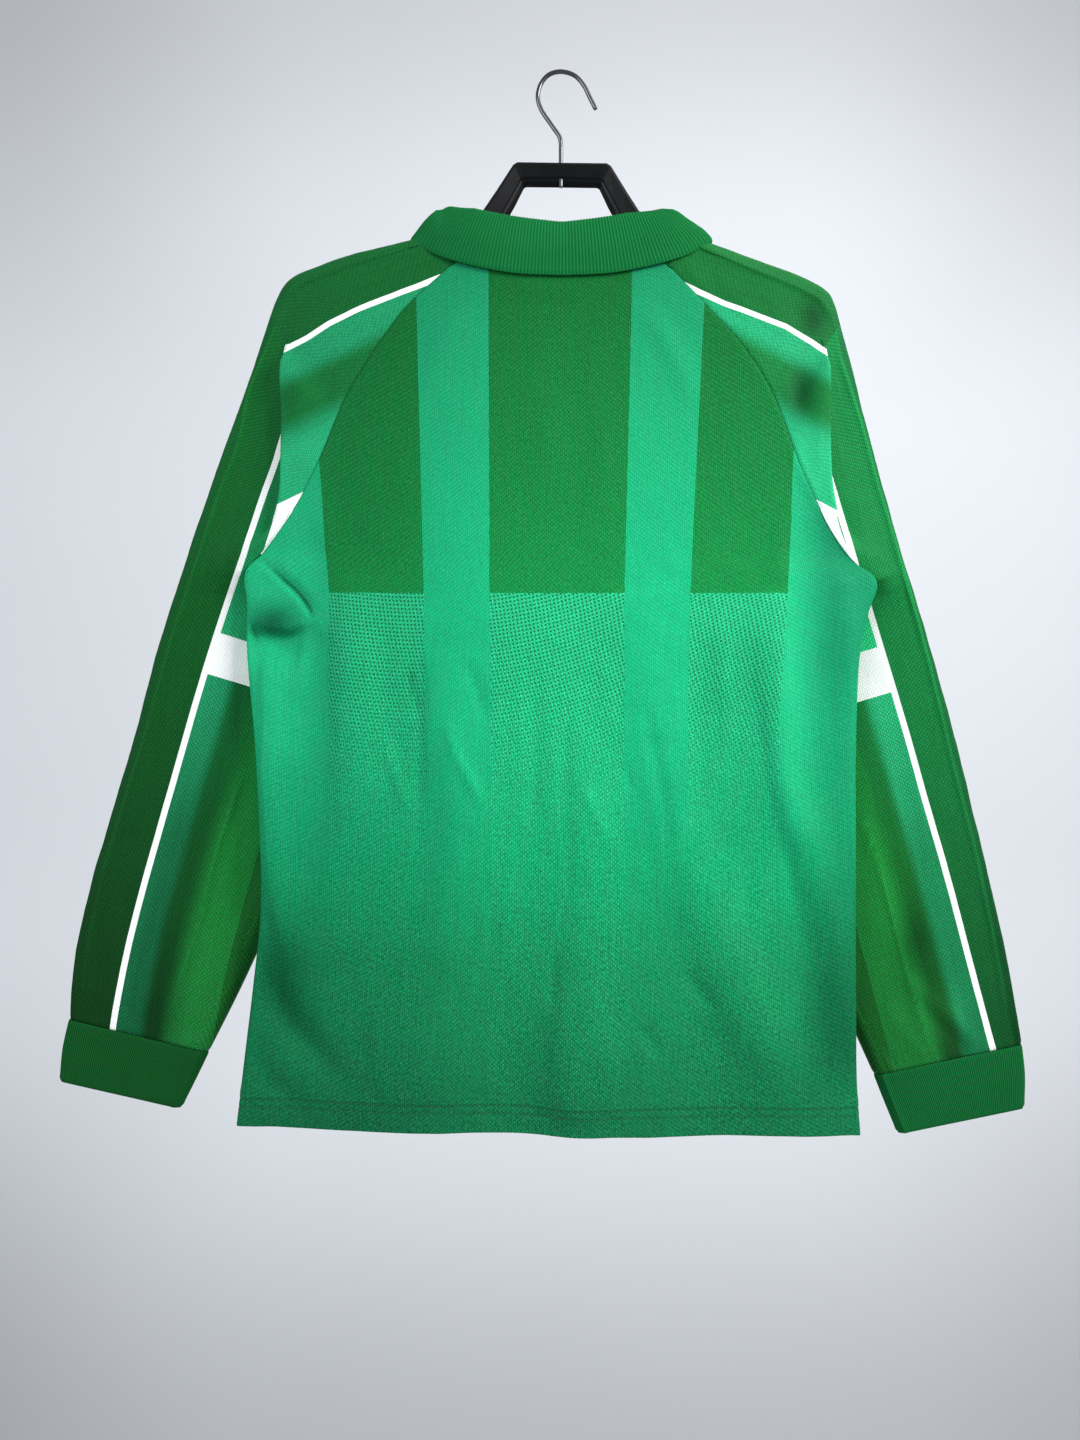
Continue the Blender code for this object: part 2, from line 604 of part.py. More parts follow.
# each sleeve's edge stops short of the seam
for side in arms:
    G = arms[side]
    for i in range(ARMPIT + 1):
        G[i, 0] += unit(G[i, 1] - G[i, 0]) * GAP
        G[i, -1] += unit(G[i, -2] - G[i, -1]) * GAP
    q = dict(zip(COLS, ARM[side][ARMPIT]))
    G[ARMPIT, 0] = G[ARMPIT, -1] = (q["bx"] + 1.5 * GAP, 0, q["bz"] + 2 * GAP)
    N = n_arm[side]
    N[ARMPIT, 0] = N[ARMPIT, -1] = unit(np.array([-0.3, 0.0, -1.0]))
    N[ARMPIT + 1:, 0] = N[ARMPIT + 1:, -1] = unit(N[ARMPIT + 1:, 0] + N[ARMPIT + 1:, -1])

wall("back_panel", back, back - n_back * WALL, body_knit)
wall("front_panel", front, front - n_front * WALL, body_knit)
for side in ("left", "right"):
    mirror = np.array([1.0 if side == "left" else -1.0, 1, 1])
    G, N = arms[side], n_arm[side]
    thick = np.full(G.shape[:2] + (1,), WALL)
    thick[INNER_FIRST - 1:INNER_FIRST + 1, 16:LAST] = TIGHT     # where the inner fold begins
    thick[ARMPIT - 1:ARMPIT + 3, 19:LAST] = TIGHT               # and under the armpit
    wall("sleeve_" + side, G * mirror, (G - N * thick) * mirror, sleeve_knit, closed_from=ARMPIT)

# ---------------------------------------------------------------- cuffs
for side, end in (("left", CUFF_LEFT), ("right", CUFF_RIGHT)):
    mirror = np.array([1.0 if side == "left" else -1.0, 1, 1])
    last = dict(zip(COLS, ARM[side][-1]))
    tip = dict(last)
    tip.update(end)
    mid = {k: 0.5 * (last[k] + tip[k]) for k in last}
    mid["r"], tip["r"] = 6.6, 6.2
    mid["tx"] += 1.5
    rows = []
    for q in (last, mid, tip):
        K = section([q[c] for c in COLS], True)
        rows.append(K)
    down = unit(rows[2].mean(0) - rows[0].mean(0))
    rows[0] = rows[0] + down * (2 * GAP)
    rows.insert(1, rows[0] + (rows[1] - rows[0]) * 0.30)
    G = np.array(rows)
    G[:, -1] = G[:, 0]
    N = normals(G)
    N[:, 0] = N[:, -1] = unit(N[:, 0] + N[:, -1])
    if N[1, APEX, 0] < 0:
        N *= -1
    wall("cuff_" + side, G * mirror, (G - N * RIB) * mirror, rib_knit, closed_from=0)

# ---------------------------------------------------------------- collar
def along(P, t):
    """Point at fraction t of a dense polyline's length."""
    d = np.concatenate([[0], np.cumsum(np.linalg.norm(np.diff(P, axis=0), axis=1))])
    return np.array([np.interp(t * d[-1], d, P[:, k]) for k in range(3)])


def neck_line(turn, sgn):
    """One quarter of the neck seam, dense: over the back, the sleeve (two) and the front."""
    side = "left" if sgn > 0 else "right"
    if turn in (0, 3):
        u = np.linspace(0.5, 0, 40) if turn == 0 else np.linspace(0, 0.5, 40)
        return panel_grid(+1 if turn == 0 else -1, [0], u if sgn > 0 else 1 - u)[0]
    k = np.linspace(0, APEX, 60) if turn == 1 else np.linspace(APEX, LAST, 60)
    return sleeve_grid(ARM[side], [0], k)[0] * np.array([sgn, 1, 1])


NECK = {(turn, sgn): neck_line(turn, sgn) for turn in range(4) for sgn in (1, -1)}


def collar_section(w, sgn):
    """Knots of the collar's outer side: foot, stand, fold, leaf, free edge."""
    T = np.asarray(COLLAR, float)
    q = dict(zip(COLLAR_COLS, spline(T, np.interp(w, T[:, 0], np.arange(len(T))))[0]))
    F = np.array([CENTRE + sgn * q["fx"], q["fy"], q["fz"]])
    L = np.array([CENTRE + sgn * q["lx"], q["ly"], q["lz"]])
    turn = min(int(w), 3)
    N = along(NECK[turn, sgn], w - turn) + np.array([0, 0, NECK_GAP])
    if w > 3.99:
        N = N + np.array([sgn * 2.2, 0, 2.0])
    face, tip = math.radians(q["face"]), math.radians(q["tip"])
    o = np.array([sgn * math.cos(face) * math.cos(tip), math.sin(face) * math.cos(tip), math.sin(tip)])
    d = 0.5 * (N + L) - F
    d = unit(d - np.dot(d, o) * o)
    a = COLLAR_ROLL
    S = F - o * a + d * a * 1.1
    E = F + o * a + d * a * 1.1
    return np.array([N, mix(N, S, 0.5), S, F, E, mix(E, L, 0.33) + o * 1.2, mix(E, L, 0.68) + o * 1.0, L])


turns = [0, 0.35, 0.7, 1, 1.3, 1.587, 1.79, 2, 2.2, 2.4, 2.7, 3, 3.25, 3.5, 3.75, 4]
ring = [collar_section(w, -1) for w in reversed(turns)] + [collar_section(w, +1) for w in turns[1:]]
G = np.array(ring)
N = normals(G)
centre = len(G) // 2
if N[centre, 5, 1] < 0:
    N *= -1
wall("collar", G, G - N * COLLAR_WALL, rib_knit)

# ---------------------------------------------------------------- hanger
def bar_ring(row):
    """A rounded rectangle across the hanger between its outer and inner edge."""
    q = dict(zip(HANGER_COLS, row))
    O = np.array([q["ox"], 0, q["oz"]])
    I = np.array([q["ix"], 0, q["iz"]])
    e = unit(O - I)
    h = 0.5 * np.linalg.norm(O - I)
    d = 0.5 * q["deep"]
    r = min(HANGER_EDGE, 0.45 * d, 0.8 * h)
    pts = []
    for ce, cd, start in ((1, 1, 0), (1, -1, 90), (-1, -1, 180), (-1, 1, 270)):
        for a in (0, 45, 90):
            t = math.radians(start + a)
            pts.append(0.5 * (O + I) + e * (ce * (h - r) + r * math.cos(t + 0.0) * 1.0)
                       + np.array([0, 1, 0]) * (cd * (d - r) + r * math.sin(t)))
    # order the corners round the section
    c = 0.5 * (O + I)
    pts.sort(key=lambda p: math.atan2(np.dot(p - c, (0, 1, 0)) / d, np.dot(p - c, e) / h))
    return pts


half = [bar_ring(row) for row in HANGER]
rings = half + [[p * np.array([-1, 1, 1]) for p in ring] for ring in reversed(half)]
turn = np.array([[math.cos(HANGER_TILT), 0, -math.sin(HANGER_TILT)], [0, 1, 0],
                 [math.sin(HANGER_TILT), 0, math.cos(HANGER_TILT)]])
pivot = np.array([0.9, 0, -78.4])
rings = [[turn @ (p - pivot) + pivot for p in ring] for ring in rings]
hanger = loft("hanger_body", rings, black_plastic)

bpy.ops.mesh.primitive_cylinder_add(vertices=24, radius=(WIRE / 2 + 0.3) * MM, depth=40 * MM,
                                    location=(0.9 * MM, 0, -87 * MM))
bore = bpy.context.active_object
bore.name = "hook_bore"
bore.hide_render = True
bore.display_type = "WIRE"
for c in list(bore.users_collection):
    c.objects.unlink(bore)
cutters.objects.link(bore)
cut = hanger.modifiers.new("bore", "BOOLEAN")
cut.operation = "DIFFERENCE"
cut.object = bore

# Hook wire: one tube, thicker at the head that holds it under the bar.
path = spline(HOOK, np.linspace(0, len(HOOK) - 1, 30))
line = [(x, 0.0, z, WIRE / 2) for x, z in path]
line[0] = (line[0][0], 0.0, line[0][2], WIRE / 2 * 0.8)
line += [(0.9, 0.0, -96.9, WIRE / 2), (0.9, 0.0, -96.9 - 0.01, HEAD_R), (0.9, 0.0, -99.2, HEAD_R)]
line = np.array(line)
rings = []
for k, (x, y, z, r) in enumerate(line):
    a = line[max(k - 1, 0), :3]
    b = line[min(k + 1, len(line) - 1), :3]
    t = unit(b - a)
    e1 = np.array([0.0, 1.0, 0.0])
    e2 = np.cross(t, e1)
    rings.append([np.array([x, y, z]) + r * (math.cos(th) * e1 + math.sin(th) * e2)
                  for th in np.linspace(0, 2 * math.pi, 12, endpoint=False)])
loft("hanger_hook", rings, hook_steel)
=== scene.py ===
"""Looks of the goalkeeper jersey on its hanger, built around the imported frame.

+Z is up, the garment's front faces -Y, and the camera looks at its back, along -Y.
Sizes are in millimetres and become metres when a mesh is made.
"""
import math

import bmesh
import bpy
import numpy as np
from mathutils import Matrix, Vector


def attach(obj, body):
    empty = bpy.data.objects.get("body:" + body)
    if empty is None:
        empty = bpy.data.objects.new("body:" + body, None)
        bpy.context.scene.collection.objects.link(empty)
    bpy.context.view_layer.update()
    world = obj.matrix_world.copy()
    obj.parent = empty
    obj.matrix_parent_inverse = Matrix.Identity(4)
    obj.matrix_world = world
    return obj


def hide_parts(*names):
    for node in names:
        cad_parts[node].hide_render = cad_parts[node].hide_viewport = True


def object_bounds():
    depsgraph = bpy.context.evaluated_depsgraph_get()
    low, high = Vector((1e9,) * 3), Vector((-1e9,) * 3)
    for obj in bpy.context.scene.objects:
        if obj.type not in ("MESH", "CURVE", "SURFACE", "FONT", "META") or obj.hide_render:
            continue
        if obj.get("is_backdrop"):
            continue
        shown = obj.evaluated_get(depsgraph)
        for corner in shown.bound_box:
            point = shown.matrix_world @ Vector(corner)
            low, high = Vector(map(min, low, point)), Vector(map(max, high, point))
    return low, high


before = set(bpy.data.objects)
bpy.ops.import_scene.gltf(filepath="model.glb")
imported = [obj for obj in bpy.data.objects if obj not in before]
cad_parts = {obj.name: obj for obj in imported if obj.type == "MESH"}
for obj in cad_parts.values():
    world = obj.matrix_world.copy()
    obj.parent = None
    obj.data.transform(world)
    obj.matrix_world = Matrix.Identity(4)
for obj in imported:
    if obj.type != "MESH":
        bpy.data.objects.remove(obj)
CAD_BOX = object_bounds()
MM = 0.001
PITCH = 3.1       # spacing of the sheets' points

# The camera, and pixels of the 1080 x 1440 frame.
PIXEL = 0.86                             # mm to a pixel in the plane y = 0
CAMERA = (18.92, 1000.0, -555.56)


def to_px(P):
    k = PIXEL * (CAMERA[1] - P[..., 1]) / CAMERA[1]
    return 540 - (P[..., 0] - CAMERA[0]) / k, 720 - (P[..., 2] - CAMERA[2]) / k



# ---------------------------------------------------------------- driving sizes
WALL = 1.3            # body and sleeve knit
TIGHT = 1.0           # the same in its tightest folds
RIB = 1.7             # cuffs
COLLAR_WALL = 1.5
GAP = 0.2             # each piece stops this far short of its seam line
NECK_GAP = 0.6        # the collar's foot over the neck seam
CENTRE = 0.5          # x of the garment's centre line
SIDE_ROLL = 5.5       # radius of the rolled cloth at the side seams
ROLL_REACH = 7.0      # how far that roll reaches in from the seam
LAYER = 2.2           # half the step from one layer of a pleat to the next
FOLD_R = 2.0          # in-plane reach of a pleat's fold
VENT = 42.0           # open length at the foot of each side seam
VENT_OPEN = 2.2       # half opening of a vent at the hem
ARMPIT = 11           # table row at which the raglan seams meet the side seam

# Raglan sleeves, as sections from the neck (row 0) past the armpit (row ARMPIT) to the cuff.
# x is measured outwards from the middle of the frame.
# Seam lines with the back (b) and with the front (f).
SEAM_COLS = "bx bz fx fz".split()
SEAM_LEFT = [
    (80.1, -156.2, 93.0, -158.0),
    (127.3, -200.0, 131.0, -203.0),
    (149.2, -227.4, 151.0, -229.0),
    (169.4, -258.0, 170.0, -259.0),
    (183.8, -282.5, 184.0, -283.0),
    (194.0, -306.0, 194.0, -306.0),
    (203.4, -328.8, 203.4, -328.8),
    (213.8, -350.6, 213.8, -350.6),
    (225.1, -371.5, 225.1, -371.5),
    (240.1, -392.3, 240.1, -392.3),
    (256.2, -412.2, 256.2, -412.2),
    (272.7, -428.7, 272.7, -428.7),
]
SEAM_RIGHT = [
    (78.8, -157.1, 92.0, -159.0),
    (125.9, -207.6, 129.0, -210.0),
    (147.7, -231.6, 149.0, -233.0),
    (167.1, -258.8, 168.0, -260.0),
    (180.6, -284.2, 181.0, -284.2),
    (189.6, -306.9, 189.6, -306.9),
    (197.7, -329.6, 197.7, -329.6),
    (206.8, -350.6, 206.8, -350.6),
    (216.9, -371.5, 216.9, -371.5),
    (229.4, -394.0, 229.4, -394.0),
    (247.4, -417.3, 247.4, -417.3),
    (270.9, -436.4, 270.9, -436.4),
]
SEAM_DEPTH_COLS = "by fy".split()     # the same on both sides
SEAM_DEPTH = [
    (12.5, -11.5), (15.5, -13.5), (16.5, -14.5), (17.0, -15.0), (17.0, -15.0), (16.5, -15.0),
    (16.0, -14.5), (15.0, -13.5), (13.5, -12.0), (10.5, -9.0), (6.5, -5.5), (0.0, 0.0),
]
# Shoulder ridge, then the outside of the arm: place, depth, and the radius the cloth turns at.
EDGE_COLS = "tx tz".split()
EDGE_LEFT = [
    (111.8, -140.5), (178.0, -155.8), (209.8, -166.2), (233.3, -176.8), (245.6, -194.5),
    (257.9, -227.8), (270.2, -264.6), (284.3, -301.5), (297.8, -336.5), (310.2, -371.8),
    (322.6, -406.3), (328.1, -425.3), (335.4, -444.3), (353.8, -498.9), (371.0, -564.3),
    (392.4, -634.3), (410.7, -697.2), (424.3, -756.5), (430.1, -815.7),
]
EDGE_RIGHT = [
    (110.9, -140.5), (175.4, -164.3), (205.5, -175.4), (226.4, -186.3), (234.4, -198.8),
    (243.3, -227.8), (253.1, -264.6), (262.8, -301.5), (272.9, -336.5), (282.8, -371.8),
    (292.6, -406.3), (299.0, -425.3), (305.4, -444.3), (322.9, -498.9), (341.9, -566.9),
    (359.8, -636.9), (374.7, -699.9), (389.1, -763.5), (401.8, -837.5),
]
EDGE_DEPTH_COLS = "ty r".split()
EDGE_DEPTH = [
    (0.0, 11.0), (0.0, 13.5), (0.0, 13.5), (-1.0, 12.0), (-2.0, 10.0),
    (-3.0, 8.0), (-4.0, 7.0), (-5.0, 6.5), (-7.0, 6.0), (-8.0, 6.0),
    (-9.0, 6.0), (-10.0, 6.0), (-11.0, 6.0), (-14.0, 6.0), (-16.0, 6.0),
    (-17.0, 6.0), (-17.0, 6.0), (-17.0, 6.0), (-17.0, 6.0),
]
# Pleat behind the shoulder, from its first row: x of its fold, and its overlap.
# Rows before and after only say where the fold line would run on.
PLEAT_FIRST, PLEAT_LAST = 5, 9
PLEAT_COLS = "px lap".split()
PLEAT_LEFT = [
    (98, 0), (152, 0), (184, 0), (212, 0), (230, 0),
    (238, 0), (238, 13), (239, 15), (241, 9), (249, 0), (270, 0), (287, 0),
]
PLEAT_RIGHT = [
    (97, 0), (150, 0), (181, 0), (207, 0), (221, 0),
    (226, 0), (227, 13), (228, 15), (231, 9), (239, 0), (261, 0), (284, 0),
]
# Inner fold of the arm, from row INNER_FIRST: over the front above the armpit, then the arm's
# inner edge down to the cuff; du is the distance from it to the underarm seam.
INNER_FIRST = 8
INNER_COLS = "gx gz du".split()
INNER_LEFT = [
    (222.0, -373.0, 0), (205.0, -395.0, 0), (193.0, -415.0, 0), (187.0, -433.0, 87),
    (184.0, -452.0, 80), (183.0, -518.0, 58), (199.0, -597.0, 38), (227.0, -668.0, 25),
    (254.0, -727.0, 17), (281.5, -788.0, 13), (310.5, -847.0, 12),
]
INNER_RIGHT = [
    (213.8, -373.0, 0), (196.0, -396.5, 0), (182.0, -420.0, 0), (175.0, -440.0, 97),
    (171.0, -460.0, 90), (168.0, -526.0, 62), (180.0, -604.0, 38), (200.0, -677.0, 25),
    (222.0, -741.0, 17), (247.0, -803.0, 13), (275.2, -867.0, 12),
]
INNER_DEPTH_COLS = "gy gh uy".split()   # depth of that fold, half the arm's thickness, seam depth
INNER_DEPTH = [
    (-18.2, 3.0, 0), (-21.4, 4.2, 0), (-22.8, 5.2, 0), (-23.6, 5.8, 0),
    (-23.6, 5.8, -12.5), (-23.6, 5.8, -17.0), (-23.6, 5.8, -17.6), (-23.6, 5.8, -17.6),
    (-23.6, 5.8, -17.6), (-23.6, 5.8, -17.6), (-23.6, 5.8, -17.6),
]

# Body sections below the armpits: side seams, hem sag, and how far each face stands out.
# lx lz / rx rz  left and right side seam; back, front  mid-panel depths
BODY_COLS = "lx lz rx rz back front".split()
BODY = [
    (271.0, -457.0, 263.6, -464.7, 21.0, -14.0),
    (271.0, -499.8, 255.5, -507.5, 21.0, -14.0),
    (264.6, -571.0, 252.9, -578.7, 20.5, -13.5),
    (260.7, -641.3, 252.9, -649.9, 20.0, -13.5),
    (259.0, -712.5, 252.9, -721.0, 20.0, -13.0),
    (265.9, -783.6, 252.9, -792.2, 19.5, -12.5),
    (274.4, -854.8, 253.7, -863.4, 18.5, -12.0),
    (279.6, -902.0, 256.3, -910.5, 17.5, -11.5),
]
# Mid-panel depths and the sag of each section line above the armpits, one row for each seam row.
TOP_COLS = "back front dip vee".split()
TOP = [
    (13.5, -12.2, 10.5, 114.0),
    (15.5, -13.0, 8.0, 90.0),
    (16.5, -13.4, 6.5, 73.0),
    (17.6, -13.7, 5.0, 54.0),
    (18.4, -13.9, 4.0, 39.0),
    (19.0, -14.0, 3.0, 27.0),
    (19.5, -14.0, 2.0, 18.0),
    (20.0, -14.0, 1.0, 11.0),
    (20.3, -14.0, 0.0, 6.0),
    (20.6, -14.0, 0.0, 3.0),
    (20.8, -14.0, 0.0, 1.0),
    (21.0, -14.0, 0.0, 0.0),
]
# Long soft folds of the hanging body: centre (fraction of the width, 0 at the left side seam),
# half width of it, depth at the hem, and the height at which the fold fades out.
FOLD_COLS = "at wide deep top".split()
BODY_FOLDS = [
    (0.10, 0.045, -2.5, -700.0),
    (0.30, 0.070, 3.0, -560.0),
    (0.43, 0.060, -4.5, -480.0),
    (0.54, 0.050, 2.0, -600.0),
    (0.63, 0.060, 4.0, -520.0),
    (0.75, 0.060, -3.0, -600.0),
    (0.88, 0.050, 2.5, -650.0),
]

# Collar, from the back centre (turn 0) over the shoulder (turn 2) to the front end (turn 4).
# f..  the fold on top; l..  the free edge of the leaf; face, tip  the way the leaf looks there,
# in degrees round from +X and up from level
COLLAR_COLS = "turn fx fy fz lx ly lz face tip".split()
COLLAR = [
    (0.00, 0.0, 12.5, -132.8, 0.0, 21.0, -179.5, 90, 6),
    (0.50, 38.0, 12.8, -128.4, 45.0, 21.0, -177.0, 84, 8),
    (1.00, 72.0, 11.6, -121.5, 92.0, 20.0, -166.5, 66, 14),
    (1.50, 90.0, 7.0, -115.0, 119.0, 15.2, -154.0, 40, 30),
    (1.75, 94.0, 3.6, -112.6, 129.0, 10.7, -145.8, 20, 38),
    (2.00, 95.5, 0.0, -111.8, 132.5, 0.0, -141.3, 0, 42),
    (2.25, 94.0, -4.2, -113.5, 130.0, -11.0, -146.8, -24, 38),
    (2.50, 89.0, -9.0, -119.0, 125.0, -16.5, -158.5, -44, 30),
    (3.00, 76.0, -14.0, -143.0, 111.0, -19.5, -198.0, -56, 18),
    (3.33, 53.0, -15.5, -185.5, 86.0, -19.5, -240.0, -60, 14),
    (3.67, 27.6, -15.5, -228.8, 54.0, -19.5, -275.0, -64, 10),
    (4.00, 7.0, -14.5, -258.0, 27.7, -19.0, -299.0, -66, 8),
]
COLLAR_ROLL = 3.1     # radius of the fold on top of the collar

# Rib cuffs: outer and inner edge at the far end, as x outwards and z.
CUFF_LEFT = dict(tx=438.4, tz=-869.5, gx=334.6, gz=-896.5)
CUFF_RIGHT = dict(tx=404.0, tz=-893.0, gx=295.9, gz=-918.8)

# Hanger body, from the tip of an arm to the middle of its handle.
# ox oz  outer edge; ix iz  inner edge; deep  its size from front to back
HANGER_COLS = "ox oz ix iz deep".split()
HANGER = [
    (222.5, -198.5, 218.5, -206.5, 12.0),
    (216.0, -193.0, 209.5, -209.0, 18.0),
    (200.0, -186.0, 193.0, -204.0, 20.0),
    (170.0, -172.5, 163.0, -190.5, 20.0),
    (135.0, -157.5, 128.0, -175.5, 18.0),
    (112.0, -148.0, 102.0, -165.0, 14.0),
    (96.0, -141.0, 82.0, -157.0, 13.0),
    (80.0, -133.0, 64.0, -147.5, 14.0),
    (70.0, -124.0, 53.0, -136.0, 14.0),
    (56.0, -102.8, 40.0, -112.5, 14.0),
    (42.0, -80.6, 32.6, -97.2, 14.0),
    (38.6, -78.4, 30.2, -95.9, 14.0),
    (8.0, -78.4, 8.0, -95.9, 14.0),
]
HANGER_TILT = math.radians(0.7)   # it hangs a little to one side
HANGER_EDGE = 3.0                 # its rounded edges

# Hook wire, from its tip over the top to the bar.
WIRE = 3.8
HOOK_COLS = "x z".split()
HOOK = [
    (-29.2, -30.6),
    (-24.1, -20.6),
    (-18.6, -9.6),
    (-10.6, -1.2),
    (0.9, 2.0),
    (11.6, -0.9),
    (18.6, -9.6),
    (20.8, -20.6),
    (17.6, -31.2),
    (8.6, -44.6),
    (2.2, -54.1),
    (0.9, -61.0),
]
HEAD_R = 3.1          # the wire's head under the bar


# ---------------------------------------------------------------- curves from the tables
def spline(table, s):
    """A smooth curve through the table's rows, read at row numbers s."""
    P = np.asarray(table, float)
    if P.ndim == 1:
        P = P[:, None]
    n = len(P)
    s = np.clip(np.atleast_1d(np.asarray(s, float)), 0, n - 1)
    i = np.minimum(s.astype(int), n - 2)
    t = (s - i)[:, None]
    p1, p2 = P[i], P[i + 1]
    p0 = P[np.maximum(i - 1, 0)]
    p3 = P[np.minimum(i + 2, n - 1)]
    p0 = np.where((i == 0)[:, None], 2 * p1 - p2, p0)
    p3 = np.where((i == n - 2)[:, None], 2 * p2 - p1, p3)
    return (p1 + 0.5 * t * (p2 - p0 + t * (2 * p0 - 5 * p1 + 4 * p2 - p3
                                            + t * (3 * (p1 - p2) + p3 - p0))))


def smooth(t):
    t = np.clip(t, 0.0, 1.0)
    return t * t * (3 - 2 * t)


def unit(v):
    return v / np.maximum(np.linalg.norm(v, axis=-1, keepdims=True), 1e-9)


# ---------------------------------------------------------------- sleeve sections
def sleeve_table(side):
    """All the sleeve's measures as one table, a row for each section."""
    seam, edge, pleat, inner = ((SEAM_LEFT, EDGE_LEFT, PLEAT_LEFT, INNER_LEFT) if side == "left"
                                else (SEAM_RIGHT, EDGE_RIGHT, PLEAT_RIGHT, INNER_RIGHT))
    rows = []
    for i in range(len(edge)):
        q = {}
        k = min(i, ARMPIT)
        g = max(i - INNER_FIRST, 0)
        for cols, vals in ((SEAM_COLS, seam[k]), (SEAM_DEPTH_COLS, SEAM_DEPTH[k]),
                           (EDGE_COLS, edge[i]), (EDGE_DEPTH_COLS, EDGE_DEPTH[i]),
                           (PLEAT_COLS, pleat[k]), (INNER_COLS, inner[g]),
                           (INNER_DEPTH_COLS, INNER_DEPTH[g])):
            q.update(zip(cols, vals))
        q["pl"] = 1.0 if PLEAT_FIRST <= i <= PLEAT_LAST else 0.0
        q["ov"] = 1.0 if i >= INNER_FIRST else 0.0
        rows.append([q[c] for c in COLS])
    return np.array(rows, float)


COLS = ("bx bz fx fz by fy tx tz ty r px lap gx gz du gy gh uy pl ov").split()
APEX = 12             # knot on the outer edge
LAST = 22             # knot on the front seam
STRIP = 2.6           # spacing of the knots along an unfolded fold line


def mix(a, b, t):
    return a * (1 - t) + b * t


def section(row, closed):
    """Knots of one sleeve section, from the back seam round the outer edge to the front seam."""
    q = dict(zip(COLS, row))
    T = np.array([q["tx"], q["tz"]])
    G = np.array([q["gx"], q["gz"]])
    r, pl, ov = q["r"], q["pl"], q["ov"]
    under = q["gy"] + q["gh"]
    deep = q["gy"] - q["gh"]
    if closed:
        B = F = G + (T - G) / np.linalg.norm(T - G) * q["du"]
        by = fy = q["uy"]
    else:
        B = np.array([q["bx"], q["bz"]])
        F = np.array([q["fx"], q["fz"]])
        by, fy = q["by"], q["fy"]
    out = np.zeros((LAST + 1, 3))

    def put(k, xz, y):
        out[k] = (xz[0], y, xz[1])

    # back: seam, pleat, back of the arm
    e = (T - B) / np.linalg.norm(T - B)
    reach = np.linalg.norm(T - B) - r
    top = q["ty"] + r
    a1 = (q["px"] - B[0]) / max(e[0], 0.2)
    a2 = a1 - q["lap"]
    af = float(np.clip(a1, 3.2 * STRIP, reach - 4.5 * STRIP))
    yu = by + 0.8
    low = yu - 4 * LAYER
    flat = [0, 0.5 * (af - 2.5 * STRIP)] + [af + STRIP * (k - 4.5) for k in range(2, 8)]
    flat += [flat[-1] + (reach - flat[-1]) * t for t in (0.34, 0.68, 1.0)]
    lap = min(q["lap"] / 8.0, 1.0)      # 0 is a plain step, 1 a full pleat
    folded = [0, 0.5 * a1, a1 - FOLD_R, a1, a1 + mix(0.2, -FOLD_R, lap),
              a2 + mix(0.4, FOLD_R, lap), a2 + mix(0.7, 0, lap), a2 + FOLD_R,
              a2 + 0.34 * (reach - a2), a2 + 0.68 * (reach - a2), reach]
    bend = mix(0.7, 0, lap)
    folded_y = [by, by + 0.5, yu, yu - LAYER, yu - 2 * LAYER + bend, yu - 2 * LAYER - bend,
                yu - 3 * LAYER, low, mix(low, top, 0.30), mix(low, top, 0.66), top]
    for k in range(11):
        t = flat[k] / reach
        flat_y = mix(by, top, t if closed else 0.4 * t + 0.6 * smooth(t))
        put(k, B + e * mix(flat[k], folded[k], pl), mix(flat_y, folded_y[k], pl))
    # outer edge
    C = T - e * r
    put(11, C + e * r * 0.707, q["ty"] + r * 0.707)
    put(12, T, q["ty"])
    H = mix(F, G, ov)
    ef = (T - H) / np.linalg.norm(T - H)
    put(13, T - ef * r * 0.293, q["ty"] - r * 0.707)
    # front: front of the arm, inner fold, seam
    near = q["ty"] - r
    e0 = (T - F) / np.linalg.norm(T - F)
    e1 = (T - G) / np.linalg.norm(T - G)
    l0 = np.linalg.norm(T - F) - r
    l1 = np.linalg.norm(T - G) - r
    lu = max(np.linalg.norm(F - G), 1e-6)
    eu = (F - G) / lu
    drop = abs(fy - under)
    if closed:
        last = [(G + eu * lu * 0.55, mix(under, fy, 0.45)), (G + eu * lu * 0.80, mix(under, fy, 0.80))]
    else:
        wide = 0.3 + 1.6 * min(lu / 14.0, 1.0) * (1 - min(drop / 17.8, 1.0) ** 2)
        last = [(F - eu * (wide + 0.08 * drop), mix(fy, under, 0.90)),
                (F + eu * wide, mix(fy, under, 0.42))]
    gh = q["gh"]
    over = [(G + e1 * l1, near),
            (G + e1 * mix(gh, l1, 0.70), mix(near, deep, 0.35)),
            (G + e1 * mix(gh, l1, 0.36), mix(near, deep, 0.75)),
            (G + e1 * gh, deep), (G, q["gy"]), (G + eu * min(gh, 0.4 * lu), under)]
    over += last + [(F, fy)]
    w = min(STRIP, l0 / 8.5)
    strip = [l0, mix(5 * w, l0, 0.70), mix(5 * w, l0, 0.36)] + [w * k for k in (5, 4, 3, 2, 1, 0)]
    for k in range(14, LAST + 1):
        a = strip[k - 14]
        y0 = mix(fy, near, a / l0)
        xz1, y1 = over[k - 14]
        put(k, mix(F + e0 * a, xz1, ov), mix(y0, y1, ov))
    return out


def sleeve_grid(table, rows, knots):
    """Outer surface of a sleeve at the given table rows and knot numbers."""
    out = []
    for s in rows:
        if ARMPIT < s < ARMPIT + 1:      # just under the armpit the tube closes
            t = s - ARMPIT
            t = np.array([t ** 1.5, t ** 0.5, t])
            K = mix(section(table[ARMPIT], False), section(table[ARMPIT + 1], True), t)
        else:
            K = section(spline(table, s)[0], s > ARMPIT + 1e-6)
        out.append(spline(K, knots))
    return np.array(out)


